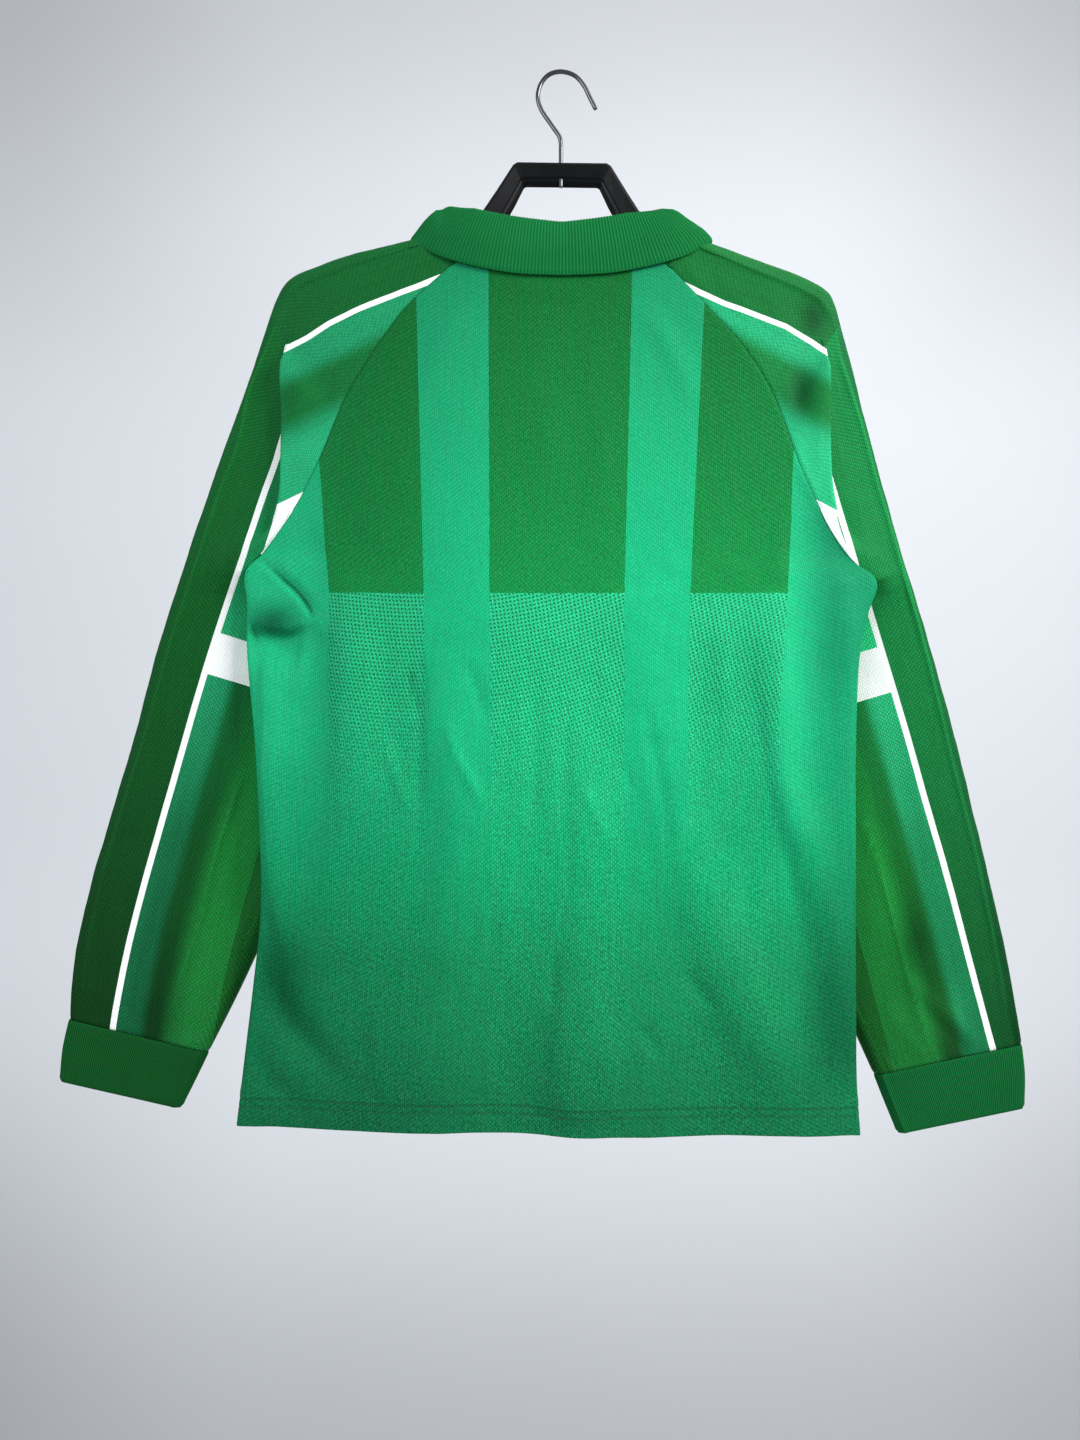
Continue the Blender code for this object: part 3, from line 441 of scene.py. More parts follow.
ARM = {"left": sleeve_table("left"), "right": sleeve_table("right")}


# ---------------------------------------------------------------- body panels
def fold_relief(u, z, z_hem):
    """Depth of the long hanging folds at width fraction u and height z."""
    d = np.zeros_like(u)
    for row in BODY_FOLDS:
        f = dict(zip(FOLD_COLS, row))
        grow = smooth((f["top"] - z) / (f["top"] - z_hem))
        d += f["deep"] * grow * np.exp(-((u - f["at"]) / f["wide"]) ** 2)
    return d


def panel_grid(side, rows, cols):
    """Outer surface of the back (side +1) or the front (side -1) panel."""
    seam = "b" if side > 0 else "f"
    L, R = ARM["left"], ARM["right"]
    ix, iz, iy = (COLS.index(seam + c) for c in "xzy")
    n_top = ARMPIT + 1
    line = []
    for i in range(n_top):
        t = dict(zip(TOP_COLS, TOP[i]))
        mid = t["back"] if side > 0 else t["front"]
        dip = t["dip"] if side > 0 else t["vee"]
        roll = 1.0 if i == ARMPIT else 0.0
        line.append((L[i, ix], L[i, iz], L[i, iy], -R[i, ix], R[i, iz], R[i, iy], mid, dip, roll))
    for row in BODY:
        b = dict(zip(BODY_COLS, row))
        mid = b["back"] if side > 0 else b["front"]
        line.append((b["lx"], b["lz"], 0, -b["rx"], b["rz"], 0, mid, 0, 1))
    line = np.array(line)
    out = []
    for s in rows:
        lx, lz, ly, rx, rz, ry, mid, dip, roll = spline(line, s)[0]
        u = np.asarray(cols, float)
        c = 2 * u - 1
        m = np.abs(c)
        c0 = 0.90
        yb = np.where(c < 0, ly, ry)
        edge = ROLL_REACH
        th = np.clip((m - c0) / (1 - c0), 0, 1) * math.pi / 2
        lift = SIDE_ROLL * roll * side
        cx, hx = 0.5 * (lx + rx), 0.5 * (lx - rx)
        flat = hx - edge
        xs = np.where(m <= c0, flat * m / c0, flat + edge * np.sin(th))
        x = cx - np.sign(c) * xs
        body = yb + lift
        y = np.where(m <= c0, body + (mid - body) * (1 - np.clip(m / c0, 0, 1) ** 2.6),
                     yb + lift * np.cos(th))
        z = lz + (rz - lz) * u
        if side > 0:
            z = z - dip * np.cos(c * math.pi / 2) ** 1.2
        else:
            z = z - dip * (1 - m ** 1.25)
        hem = 0.5 * (lz + rz)
        y = y + side * fold_relief(u, z, -906.0) * (1 - smooth((m - 0.8) / 0.15))
        y = y + side * 0.15
        # the vents open towards the hem
        low = lz + (rz - lz) * u
        hem_z = BODY[-1][1] + (BODY[-1][3] - BODY[-1][1]) * u
        vent = np.clip(1 - (low - hem_z) / VENT, 0, 1)
        y = y + side * VENT_OPEN * vent * smooth((m - c0) / (1 - c0))
        x = x + np.sign(c) * GAP * smooth((m - c0) / (1 - c0))
        if s >= ARMPIT - 1e-6:
            z = z - 2 * GAP * smooth((m - c0) / (1 - c0)) * (1 - smooth((s - ARMPIT) / 1.0))
        out.append(np.stack([x, y, z], -1))
    return np.array(out)


# ---------------------------------------------------------------- surfaces
def normals(G, wrap=False, turn=1.0):
    """Unit normals of a grid of points, by its central differences."""
    if wrap:
        du = np.roll(G, -1, 1) - np.roll(G, 1, 1)
    else:
        du = np.empty_like(G)
        du[:, 1:-1] = G[:, 2:] - G[:, :-2]
        du[:, 0] = G[:, 1] - G[:, 0]
        du[:, -1] = G[:, -1] - G[:, -2]
    dv = np.empty_like(G)
    dv[1:-1] = G[2:] - G[:-2]
    dv[0] = G[1] - G[0]
    dv[-1] = G[-1] - G[-2]
    return unit(np.cross(unit(du), unit(dv))) * turn



# ---------------------------------------------------------------- materials
def srgb(*c):
    """A colour as 0-255 display values, made linear."""
    return tuple(((v / 255 + 0.055) / 1.055) ** 2.4 if v > 10 else v / 255 / 12.92 for v in c)


class Graph:
    """Wires up one node material."""

    def __init__(self, name):
        self.material = bpy.data.materials.new(name)
        self.material.use_nodes = True
        self.tree = self.material.node_tree
        self.shader = self.tree.nodes["Principled BSDF"]
        self.count = 0

    def new(self, kind):
        n = self.tree.nodes.new(kind)
        n.location = (-300 - 180 * (self.count // 8), 200 - 120 * (self.count % 8))
        self.count += 1
        return n

    def wire(self, value, socket):
        if hasattr(value, "links"):
            self.tree.links.new(value, socket)
        elif hasattr(socket.default_value, "__len__"):
            socket.default_value = (*value, 1.0) if len(value) < len(socket.default_value) else value
        else:
            socket.default_value = value

    def op(self, what, a, b=0.0, c=0.0, clamp=False):
        n = self.new("ShaderNodeMath")
        n.operation = what
        n.use_clamp = clamp
        for k, v in enumerate((a, b, c)):
            self.wire(v, n.inputs[k])
        return n.outputs[0]

    def add(self, *v):
        out = v[0]
        for x in v[1:]:
            out = self.op("ADD", out, x)
        return out

    def mul(self, *v):
        out = v[0]
        for x in v[1:]:
            out = self.op("MULTIPLY", out, x)
        return out

    def invert(self, a):
        return self.op("SUBTRACT", 1.0, a)

    def fit(self, x, lo, hi, out_lo=0.0, out_hi=1.0, soft=False):
        n = self.new("ShaderNodeMapRange")
        n.interpolation_type = "SMOOTHSTEP" if soft else "LINEAR"
        n.clamp = True
        for k, v in enumerate((x, lo, hi, out_lo, out_hi)):
            self.wire(v, n.inputs[k])
        return n.outputs[0]

    def above(self, x, edge, soft=0.0):
        """1 where x is over edge, over a width of soft."""
        if soft:
            return self.fit(x, edge - soft / 2, edge + soft / 2, soft=True)
        return self.op("GREATER_THAN", x, edge)

    def between(self, x, lo, hi, soft=0.0):
        return self.mul(self.above(x, lo, soft), self.invert(self.above(x, hi, soft)))

    def over(self, f, a, b):
        """Colour a, with b painted over it by f."""
        n = self.new("ShaderNodeMix")
        n.data_type = "RGBA"
        n.clamp_factor = True
        self.wire(f, n.inputs[0])
        self.wire(a, n.inputs[6])
        self.wire(b, n.inputs[7])
        return n.outputs[2]

    def scale(self, colour, f):
        """The colour made lighter or darker by f."""
        n = self.new("ShaderNodeVectorMath")
        n.operation = "SCALE"
        self.wire(colour, n.inputs[0])
        self.wire(f, n.inputs["Scale"])
        return n.outputs[0]

    def ramp(self, x, lo, hi, stops):
        """A colour that changes along x, between lo and hi, through the stops (x, colour)."""
        n = self.new("ShaderNodeValToRGB")
        e = n.color_ramp.elements
        while len(e) > 1:
            e.remove(e[-1])
        e[0].position = (stops[0][0] - lo) / (hi - lo)
        e[0].color = (*stops[0][1], 1)
        for p, c in stops[1:]:
            k = e.new((p - lo) / (hi - lo))
            k.color = (*c, 1)
        self.wire(self.fit(x, lo, hi), n.inputs[0])
        return n.outputs[0]

    def read(self, name):
        """The three numbers that each point of the mesh keeps under this name."""
        a = self.new("ShaderNodeAttribute")
        a.attribute_type = "GEOMETRY"
        a.attribute_name = name
        s = self.new("ShaderNodeSeparateXYZ")
        self.tree.links.new(a.outputs["Vector"], s.inputs[0])
        return s.outputs[0], s.outputs[1], s.outputs[2]

    def noise(self, size, detail=2.0, rough=0.5, where="object"):
        """Cloudy noise, size in mm."""
        n = self.new("ShaderNodeTexNoise")
        co = self.new("ShaderNodeTexCoord")
        self.tree.links.new(co.outputs["Object"], n.inputs["Vector"])
        n.inputs["Scale"].default_value = 1000.0 / size
        n.inputs["Detail"].default_value = detail
        n.inputs["Roughness"].default_value = rough
        return n.outputs[0]

    def bump(self, height, mm, strength=1.0, normal=None):
        n = self.new("ShaderNodeBump")
        n.inputs["Strength"].default_value = strength
        n.inputs["Distance"].default_value = mm * MM
        self.wire(height, n.inputs["Height"])
        if normal is not None:
            self.tree.links.new(normal, n.inputs["Normal"])
        return n.outputs[0]

    def finish(self, colour=None, rough=None, normal=None, **fixed):
        b = self.shader
        if colour is not None:
            self.wire(colour, b.inputs["Base Color"])
        if rough is not None:
            self.wire(rough, b.inputs["Roughness"])
        if normal is not None:
            self.tree.links.new(normal, b.inputs["Normal"])
        for k, v in fixed.items():
            b.inputs[k.replace("_", " ")].default_value = v
        return self.material


WHALE_A, WHALE_B = 3.70, 3.44     # the mesh knit repeats at these steps, across and along, staggered


def mesh_knit(g, a, b):
    """Height of the mesh knit at cloth place a (across) and b (along), from -1 in its holes to 1."""
    turn = 2 * math.pi
    ca = g.op("COSINE", g.mul(a, turn / WHALE_A))
    cb = g.op("COSINE", g.mul(b, turn / WHALE_B))
    cc = g.op("COSINE", g.mul(a, 2 * turn / WHALE_A))
    return g.add(g.mul(ca, cb, 0.65), g.mul(cc, 0.35))


def wales(g, a, b):
    """Slow unevenness from one knitted column to the next, -0.5 to 0.5."""
    co = g.new("ShaderNodeCombineXYZ")
    g.wire(g.mul(a, 1 / 3.1), co.inputs[0])
    g.wire(g.mul(b, 1 / 60.0), co.inputs[1])
    n = g.new("ShaderNodeTexNoise")
    g.tree.links.new(co.outputs[0], n.inputs["Vector"])
    n.inputs["Scale"].default_value = 1.0
    n.inputs["Detail"].default_value = 2.0
    return g.add(n.outputs[0], -0.5)


def grain(g, a, b):
    """Painted glints: fine loops catching the light here and there, -0.5 to 0.5."""
    co = g.new("ShaderNodeCombineXYZ")
    g.wire(g.mul(a, 1 / 2.1), co.inputs[0])
    g.wire(g.mul(b, 1 / 3.0), co.inputs[1])
    n = g.new("ShaderNodeTexNoise")
    g.tree.links.new(co.outputs[0], n.inputs["Vector"])
    n.inputs["Scale"].default_value = 1.0
    n.inputs["Detail"].default_value = 1.0
    return g.add(n.outputs[0], -0.5)


def cloth_finish(g, colour, knit, contrast, fuzz, rows=None):
    """Gives a printed mesh knit its holes, with painted shade in them, small unevenness and soft sheen."""
    blot = g.noise(38.0, 3.0)
    # painted shade in the knit's holes; rows brings knit unevenness and painted glints
    lift = g.add(1.0, g.mul(knit, contrast), g.mul(g.add(blot, -0.5), 0.10))
    if rows is not None:
        lift = g.mul(lift, g.add(1.0, rows))
    colour = g.scale(colour, lift)
    n = g.bump(g.add(g.mul(knit, 0.5), g.mul(fuzz, 0.25)), 0.25, 0.8)
    rough = g.fit(knit, -1.0, 1.0, 0.66, 0.50)
    return g.finish(colour, rough, n, Sheen_Weight=0.08, Sheen_Roughness=0.4, Sheen_Tint=(0.10, 0.55, 0.30, 1.0),
                    Specular_IOR_Level=0.14, Specular_Tint=(0.35, 1.0, 0.7, 1.0))


def body_print():
    """The printed body: dark blocks and plain stripes above, a halftone below, then darker to the hem, partly the
    print's own fade and partly painted shade; painted shade also darkens it near the collar, and the panel's painted
    light and shade scales it.
    """
    g = Graph("body_print")
    U, V, tone = g.read("print")
    a, b, _ = g.read("cloth")
    # print colours down the back, with painted shade in the ramps: darker near the collar and towards the hem
    dark = g.ramp(V, 240, 600, [(240, srgb(20, 101, 42)), (420, srgb(24, 125, 59)), (600, srgb(25, 144, 71))])
    stripe = g.ramp(V, 240, 1140, [(240, srgb(28, 140, 93)), (420, srgb(33, 174, 118)), (600, srgb(30, 190, 130)),
                                   (720, srgb(29, 187, 128)), (860, srgb(24, 168, 111)), (960, srgb(26, 146, 92)),
                                   (1140, srgb(23, 114, 71))])
    ground = g.ramp(V, 240, 1140, [(240, srgb(29, 146, 98)), (420, srgb(35, 174, 118)), (600, srgb(46, 203, 141)),
                                   (720, srgb(39, 197, 136)), (860, srgb(25, 170, 112)), (960, srgb(26, 146, 92)),
                                   (1140, srgb(23, 114, 71))])
    dots_ink = g.ramp(V, 600, 900, [(600, srgb(22, 122, 72)), (900, srgb(24, 140, 88))])
    # staggered dots of the halftone, turned a little
    t = math.radians(-15.5)
    pitch = 3.25
    x = g.add(g.mul(a, math.cos(t)), g.mul(b, math.sin(t)))
    y = g.add(g.mul(b, math.cos(t)), g.mul(a, -math.sin(t)))
    c = g.add(g.op("COSINE", g.mul(x, 2 * math.pi / pitch)), g.op("COSINE", g.mul(y, 2 * math.pi / pitch)))
    spot = g.fit(c, 0.35, 1.0, soft=True)
    column = g.add(g.between(U, 1, 2), g.between(U, 3, 4), g.between(U, 5, 6))
    side = g.add(g.invert(g.above(U, 1)), g.above(U, 6))
    upper = g.invert(g.above(V, 593))
    fade = g.invert(g.fit(V, 680, 900, soft=True))
    colour = g.over(g.mul(side, 0.35), stripe, ground)
    colour = g.over(column, colour, ground)
    colour = g.over(g.mul(column, spot, fade, g.invert(upper)), colour, dots_ink)
    colour = g.over(g.mul(column, upper), colour, dark)
    # the panel's painted light and shade
    colour = g.scale(colour, tone)
    knit = mesh_knit(g, a, b)
    contrast = g.add(0.31, g.mul(column, upper, 0.14), g.mul(column, g.fit(V, 640, 760, 0.0, 0.10)), g.fit(V, 700, 950, 0.0, 0.14))
    rows = g.add(g.mul(wales(g, a, b), g.fit(V, 560, 900, 0.18, 0.34)), g.mul(grain(g, a, b), g.add(0.5, g.mul(column, 0.35), g.fit(V, 640, 1100, 0.0, 0.75))))
    return cloth_finish(g, colour, knit, contrast, g.noise(1.4, 2.0), rows)


def sleeve_print(name, dark, patch_end, band):
    """The printed sleeve. print holds the distance across the stripe, the place along it, and the painted light and
    shade; cloth holds the place across and along the shoulder stripe, and which cloth it is.
    """
    g = Graph(name)
    s, v, tone = g.read("print")
    sa, slant, apart = g.read("cloth")
    arm = g.above(apart, 0.0, 0.0)
    white = srgb(250, 253, 252)
    # over the shoulder
    teal = srgb(37, 158, 105)
    over = g.over(g.above(sa, 0.0, 2.0), srgb(23, 102, 46), teal)
    shade = g.mul(g.fit(slant, 370, 392, soft=True), g.invert(g.fit(slant, 416, 444, soft=True)), g.above(sa, 8.0, 12.0))
    over = g.over(g.mul(shade, 0.95), over, srgb(23, 112, 50))
    over = g.over(g.mul(g.above(slant, 444.0, 30.0), g.above(sa, 0.0, 2.0)), over, srgb(42, 177, 120))
    # painted light and shade: the flap's colour scaled by the per-point painted shading and the sleeve's painted light,
    # the right flap a little darker again
    over = g.scale(over, g.mul(tone, dark * (0.88 if "right" in name else 1.0)))
    over = g.over(g.mul(g.above(slant, patch_end, 0.0), g.above(sa, 0.0)), over, white)
    over = g.over(g.between(sa, -2.7, 2.7), over, white)
    # down the arm; the right arm's outer green is set lighter than the left's: painted light, as the key lamp falls on
    # that side
    outer = g.ramp(v, 0, 640, [(0, srgb(20, 104, 42)), (200, srgb(19, 91, 35)), (640, srgb(17, 58, 19))] if "left" in name else
                   [(0, srgb(20, 114, 56)), (200, srgb(20, 110, 54)), (640, srgb(15, 67, 28))])
    near = g.ramp(v, 0, 640, [(0, srgb(24, 120, 62)), (120, srgb(28, 140, 80)), (190, srgb(38, 172, 112)), (640, srgb(34, 160, 104))])
    teal = g.ramp(v, 200, 640, [(200, srgb(40, 166, 112)), (420, srgb(26, 118, 72)), (640, srgb(22, 100, 60))])
    deep = g.ramp(v, 200, 640, [(200, srgb(21, 112, 56)), (420, srgb(19, 90, 34)), (640, srgb(15, 56, 20))])
    mid = g.ramp(v, 200, 640, [(200, srgb(25, 122, 54)), (420, srgb(24, 114, 45)), (640, srgb(23, 96, 40))])
    edge = g.ramp(v, 200, 640, [(200, srgb(22, 96, 36)), (640, srgb(20, 76, 26))])
    lower = g.over(g.above(s, 29.0, 13.0), teal, deep)
    lower = g.over(g.above(s, 50.0, 16.0), lower, mid)
    lower = g.over(g.above(s, 101.0, 1.0), lower, edge)
    inner = g.over(g.above(v, band[0], 0.0), near, lower)
    down = g.over(g.above(s, 0.0), outer, inner)
    # painted light and shade: the arm's colour scaled by the per-point painted shading and the sleeve's painted light
    down = g.scale(down, g.mul(tone, dark))
    down = g.over(g.mul(g.between(v, band[0], band[1]), g.above(s, 0.0)), down, white)
    down = g.over(g.between(s, -3.1, 3.1), down, white)
    colour = g.over(arm, over, down)
    bleached = g.op("MAXIMUM", g.mul(arm, g.op("MAXIMUM", g.mul(g.between(v, band[0], band[1]), g.above(s, 0.0)), g.between(s, -3.1, 3.1))),
                    g.mul(g.invert(arm), g.op("MAXIMUM", g.mul(g.above(slant, patch_end, 0.0), g.above(sa, 0.0)), g.between(sa, -3.1, 3.1))))
    x, y, _ = g.read("weave")
    knit = mesh_knit(g, x, y)
    plain = g.invert(g.mul(0.72, bleached))
    return cloth_finish(g, colour, knit, g.mul(plain, g.add(0.34, g.mul(arm, 0.18))), g.noise(1.4, 2.0),
                        g.mul(plain, g.add(g.mul(wales(g, x, y), 0.35), g.mul(grain(g, x, y), 0.6))))


def rib_material(name, colour, light=1.0, deep=0.13):
    """Rib knit: rows of small loops on each rib, with painted shade between the ribs."""
    g = Graph(name)
    across, along_, tone = g.read("weave")
    turn = 2 * math.pi
    rib = g.op("COSINE", g.mul(across, turn))
    loop = g.op("COSINE", g.add(g.mul(along_, turn / 1.5), g.mul(g.op("ABSOLUTE", rib), 1.2)))
    blot = g.noise(30.0, 3.0)
    # painted shade in the rib valleys; the third weave value brings in the painted light and shade
    lift = g.add(light, g.mul(rib, deep), g.mul(loop, 0.05), g.mul(g.add(blot, -0.5), 0.16))
    n = g.bump(g.add(g.mul(rib, 0.5), g.mul(loop, 0.2), g.mul(g.noise(0.9, 2.0), 0.25)), 0.25, 0.6)
    return g.finish(g.scale(srgb(*colour), g.mul(lift, tone)), 0.8, n, Sheen_Weight=0.10, Sheen_Roughness=0.5,
                    Sheen_Tint=(0.10, 0.5, 0.25, 1.0), Specular_IOR_Level=0.10, Specular_Tint=(0.35, 1.0, 0.7, 1.0))


def thread_material(name, colour):
    g = Graph(name)
    n = g.bump(g.noise(0.35, 2.0), 0.05, 0.5)
    return g.finish(g.scale(srgb(*colour), g.add(0.85, g.mul(g.noise(2.0), 0.3))), 0.55, n, Sheen_Weight=0.2,
                    Specular_IOR_Level=0.3)


def plastic_material():
    g = Graph("moulded_plastic")
    grain = g.noise(0.5, 3.0, 0.6)
    scuff = g.noise(14.0, 4.0, 0.6)
    n = g.bump(g.add(g.mul(grain, 0.6), g.mul(scuff, 0.4)), 0.05, 0.5)
    rough = g.fit(scuff, 0.3, 0.7, 0.34, 0.46)
    colour = g.scale(srgb(11, 12, 15), g.fit(scuff, 0.3, 0.7, 0.85, 1.2))
    return g.finish(colour, rough, n, Specular_IOR_Level=0.2)


def steel_material():
    g = Graph("drawn_wire")
    streak = g.new("ShaderNodeTexNoise")
    co = g.new("ShaderNodeTexCoord")
    g.tree.links.new(co.outputs["Object"], streak.inputs["Vector"])
    streak.inputs["Scale"].default_value = 900.0
    streak.inputs["Detail"].default_value = 2.0
    rough = g.fit(streak.outputs[0], 0.3, 0.7, 0.16, 0.28)
    n = g.bump(streak.outputs[0], 0.02, 0.3)
    return g.finish((0.13, 0.135, 0.14), rough, n, Metallic=1.0)



# Painted light: each sleeve's colour scaled against the body's, lighter on the right arm, which faces the key lamp, and
# darker on the left, in the body's shade; then the studio, and its lamps.
SLEEVE_PAINTED_LIGHT = {"left": 0.85, "right": 1.38}
WALL_COLOUR = (239, 242, 247)
WORLD = ((0.93, 0.96, 1.0), 0.42)
LAMPS = [
    ("key", (-2.4, 1.7, 0.9), (0.0, 0.0, -0.5), (1.4, 1.4), 106.0, (1.0, 0.99, 0.975)),
    ("fill", (2.3, 2.0, 0.2), (0.0, 0.0, -0.6), (2.0, 2.0), 46.0, (0.95, 0.97, 1.0)),
    ("wall", (-0.9, -0.5, 0.9), (-0.45, -2.6, -0.55), (1.8, 1.8), 12.6, (1.0, 1.0, 1.0)),
]


def along(P, t):
    """Point at fraction t of a dense polyline's length."""
    d = np.concatenate([[0], np.cumsum(np.linalg.norm(np.diff(P, axis=0), axis=1))])
    return np.array([np.interp(t * d[-1], d, P[:, k]) for k in range(3)])


def neck_line(turn, sgn):
    """One quarter of the neck seam, dense: over the back, the sleeve (two) and the front."""
    side = "left" if sgn > 0 else "right"
    if turn in (0, 3):
        u = np.linspace(0.5, 0, 40) if turn == 0 else np.linspace(0, 0.5, 40)
        return panel_grid(+1 if turn == 0 else -1, [0], u if sgn > 0 else 1 - u)[0]
    k = np.linspace(0, APEX, 60) if turn == 1 else np.linspace(APEX, LAST, 60)
    return sleeve_grid(ARM[side], [0], k)[0] * np.array([sgn, 1, 1])


NECK = {(turn, sgn): neck_line(turn, sgn) for turn in range(4) for sgn in (1, -1)}


def collar_section(w, sgn):
    """Knots of the collar's outer side: foot, stand, fold, leaf, free edge."""
    T = np.asarray(COLLAR, float)
    q = dict(zip(COLLAR_COLS, spline(T, np.interp(w, T[:, 0], np.arange(len(T))))[0]))
    F = np.array([CENTRE + sgn * q["fx"], q["fy"], q["fz"]])
    L = np.array([CENTRE + sgn * q["lx"], q["ly"], q["lz"]])
    turn = min(int(w), 3)
    N = along(NECK[turn, sgn], w - turn) + np.array([0, 0, NECK_GAP])
    if w > 3.99:
        N = N + np.array([sgn * 2.2, 0, 2.0])
    face, tip = math.radians(q["face"]), math.radians(q["tip"])
    o = np.array([sgn * math.cos(face) * math.cos(tip), math.sin(face) * math.cos(tip), math.sin(tip)])
    d = 0.5 * (N + L) - F
    d = unit(d - np.dot(d, o) * o)
    a = COLLAR_ROLL
    S = F - o * a + d * a * 1.1
    E = F + o * a + d * a * 1.1
    return np.array([N, mix(N, S, 0.5), S, F, E, mix(E, L, 0.33) + o * 1.2, mix(E, L, 0.68) + o * 1.0, L])


# ---------------------------------------------------------------- surface tools
CLOTH = 0.8           # real thickness of the knit
HEM = 23.0            # hem turned up inside
SEAM_DIP = 0.7        # how deep the cloth sinks into a seam


def steps(G, axis):
    """Length along the rows (axis 0) or columns (axis 1) of a grid, from its start."""
    d = np.linalg.norm(np.diff(G, axis=axis), axis=-1)
    zero = np.zeros_like(np.take(d, [0], axis))
    return np.concatenate([zero, np.cumsum(d, axis)], axis)


def spread(s, length, marks, pitch, extra=()):
    """Parameters that cut a line into steps of about pitch, passing through the marks and the extra lengths."""
    total = length[-1]
    want = list(np.arange(0, total, pitch)) + [total] + [e for e in extra if 0 <= e <= total]
    want += [float(np.interp(m, s, length)) for m in marks]
    want = np.array(sorted(want))
    keep = [want[0]]
    fine = set(np.round(list(extra), 6))
    for w in want[1:]:
        if w - keep[-1] > 0.25 * pitch or round(w, 6) in fine and w - keep[-1] > 0.2:
            keep.append(w)
    keep[-1] = total
    return np.interp(keep, length, s)


def graded(s, length, marks, zones, pitch, extra=()):
    """As spread, but with its own pitch inside each zone (from, to, pitch) of the length."""
    fine = np.arange(0, length[-1], 0.25)
    rho = np.full(len(fine), 1 / pitch)
    for lo, hi, p in zones:
        rho = np.where((fine > lo) & (fine < hi), 1 / p, rho)
    k = np.ones(33) / 33
    rho = np.convolve(np.pad(rho, 16, mode="edge"), k, "valid")
    count = np.concatenate([[0], np.cumsum(rho * 0.25)])[:len(fine)]
    want = list(np.interp(np.arange(0, count[-1]), count, fine)) + [length[-1]]
    want += [e for e in extra if 0 <= e <= length[-1]] + [float(np.interp(m, s, length)) for m in marks]
    want = np.array(sorted(want))
    keep = [want[0]]
    exact = set(np.round(list(extra), 6))
    for w in want[1:]:
        if w - keep[-1] > 0.5 or round(w, 6) in exact and w - keep[-1] > 0.2:
            keep.append(w)
    keep[-1] = length[-1]
    return np.interp(keep, length, s)


def bell(d, w):
    return np.exp(-(d / w) ** 2)


def polyline(px, py, pts):
    """Distance to a line drawn in pixels, signed (positive to its image-right), and the place along it."""
    best = np.full(px.shape, 1e9)
    side = np.zeros(px.shape)
    where = np.zeros(px.shape)
    pts = np.asarray(pts, float)
    seg = np.linalg.norm(np.diff(pts, axis=0), axis=1)
    start = np.concatenate([[0], np.cumsum(seg)])
    n = len(seg)
    for i in range(n):
        a, b = pts[i], pts[i + 1]
        d = (b - a) / seg[i]
        t = (px - a[0]) * d[0] + (py - a[1]) * d[1]
        lo = -1e9 if i == 0 else 0.0
        hi = 1e9 if i == n - 1 else seg[i]
        tc = np.clip(t, lo, hi)
        qx, qy = px - a[0] - tc * d[0], py - a[1] - tc * d[1]
        dist = np.hypot(qx, qy)
        nearer = dist < best
        best = np.where(nearer, dist, best)
        side = np.where(nearer, np.sign(qx * d[1] - qy * d[0]), side)
        where = np.where(nearer, start[i] + tc, where)
    return best * side, where, start[-1]


def fold(px, py, pts, left, right=None):
    """A ridge (or trough) along a line of (x, y, height) in pixels and mm, with its own width on either side."""
    pts = np.asarray(pts, float)
    n = len(pts)
    fine = spline(pts, np.linspace(0, n - 1, 4 * (n - 1) + 1))
    s, v, total = polyline(px, py, fine[:, :2])
    run = np.concatenate([[0], np.cumsum(np.linalg.norm(np.diff(fine[:, :2], axis=0), axis=1))])
    high = np.interp(v, run, fine[:, 2])
    beyond = np.maximum(np.maximum(-v, v - total), 0)
    w = np.where(s < 0, left, left if right is None else right)
    return high * bell(s, w) * bell(beyond, 9.0)


def plain_crease(pts, wide, high, ends=0.3):
    """The same as (x, y, height) points: full height in the middle, none at the ends."""
    pts = np.asarray(pts, float)
    run = np.concatenate([[0], np.cumsum(np.linalg.norm(np.diff(pts, axis=0), axis=1))])
    t = np.linspace(0, 1, max(5, 2 * len(pts)))
    x = np.interp(t * run[-1], run, pts[:, 0])
    y = np.interp(t * run[-1], run, pts[:, 1])
    h = high * smooth(t / ends + 0.1) * smooth((1 - t) / ends + 0.1)
    return (list(zip(x, y, h)), wide, wide)


def relief(px, py, table):
    out = np.zeros(px.shape)
    for row in table:
        pts = row[0]
        if len(pts[0]) == 2:
            row = plain_crease(*row)
        out += fold(px, py, *row)
    return out


def wavy(x, y, seed, size):
    """Slow, uneven waves with no repeat at this scale, about -1 to 1."""
    rng = np.random.default_rng(seed)
    out = np.zeros(np.shape(x))
    for k in range(9):
        a = rng.uniform(0, 2 * math.pi)
        f = 2 * math.pi / (size * rng.uniform(0.6, 1.9))
        out += np.sin((x * math.cos(a) + y * math.sin(a)) * f + rng.uniform(0, 6.3))
    return out / 4.0


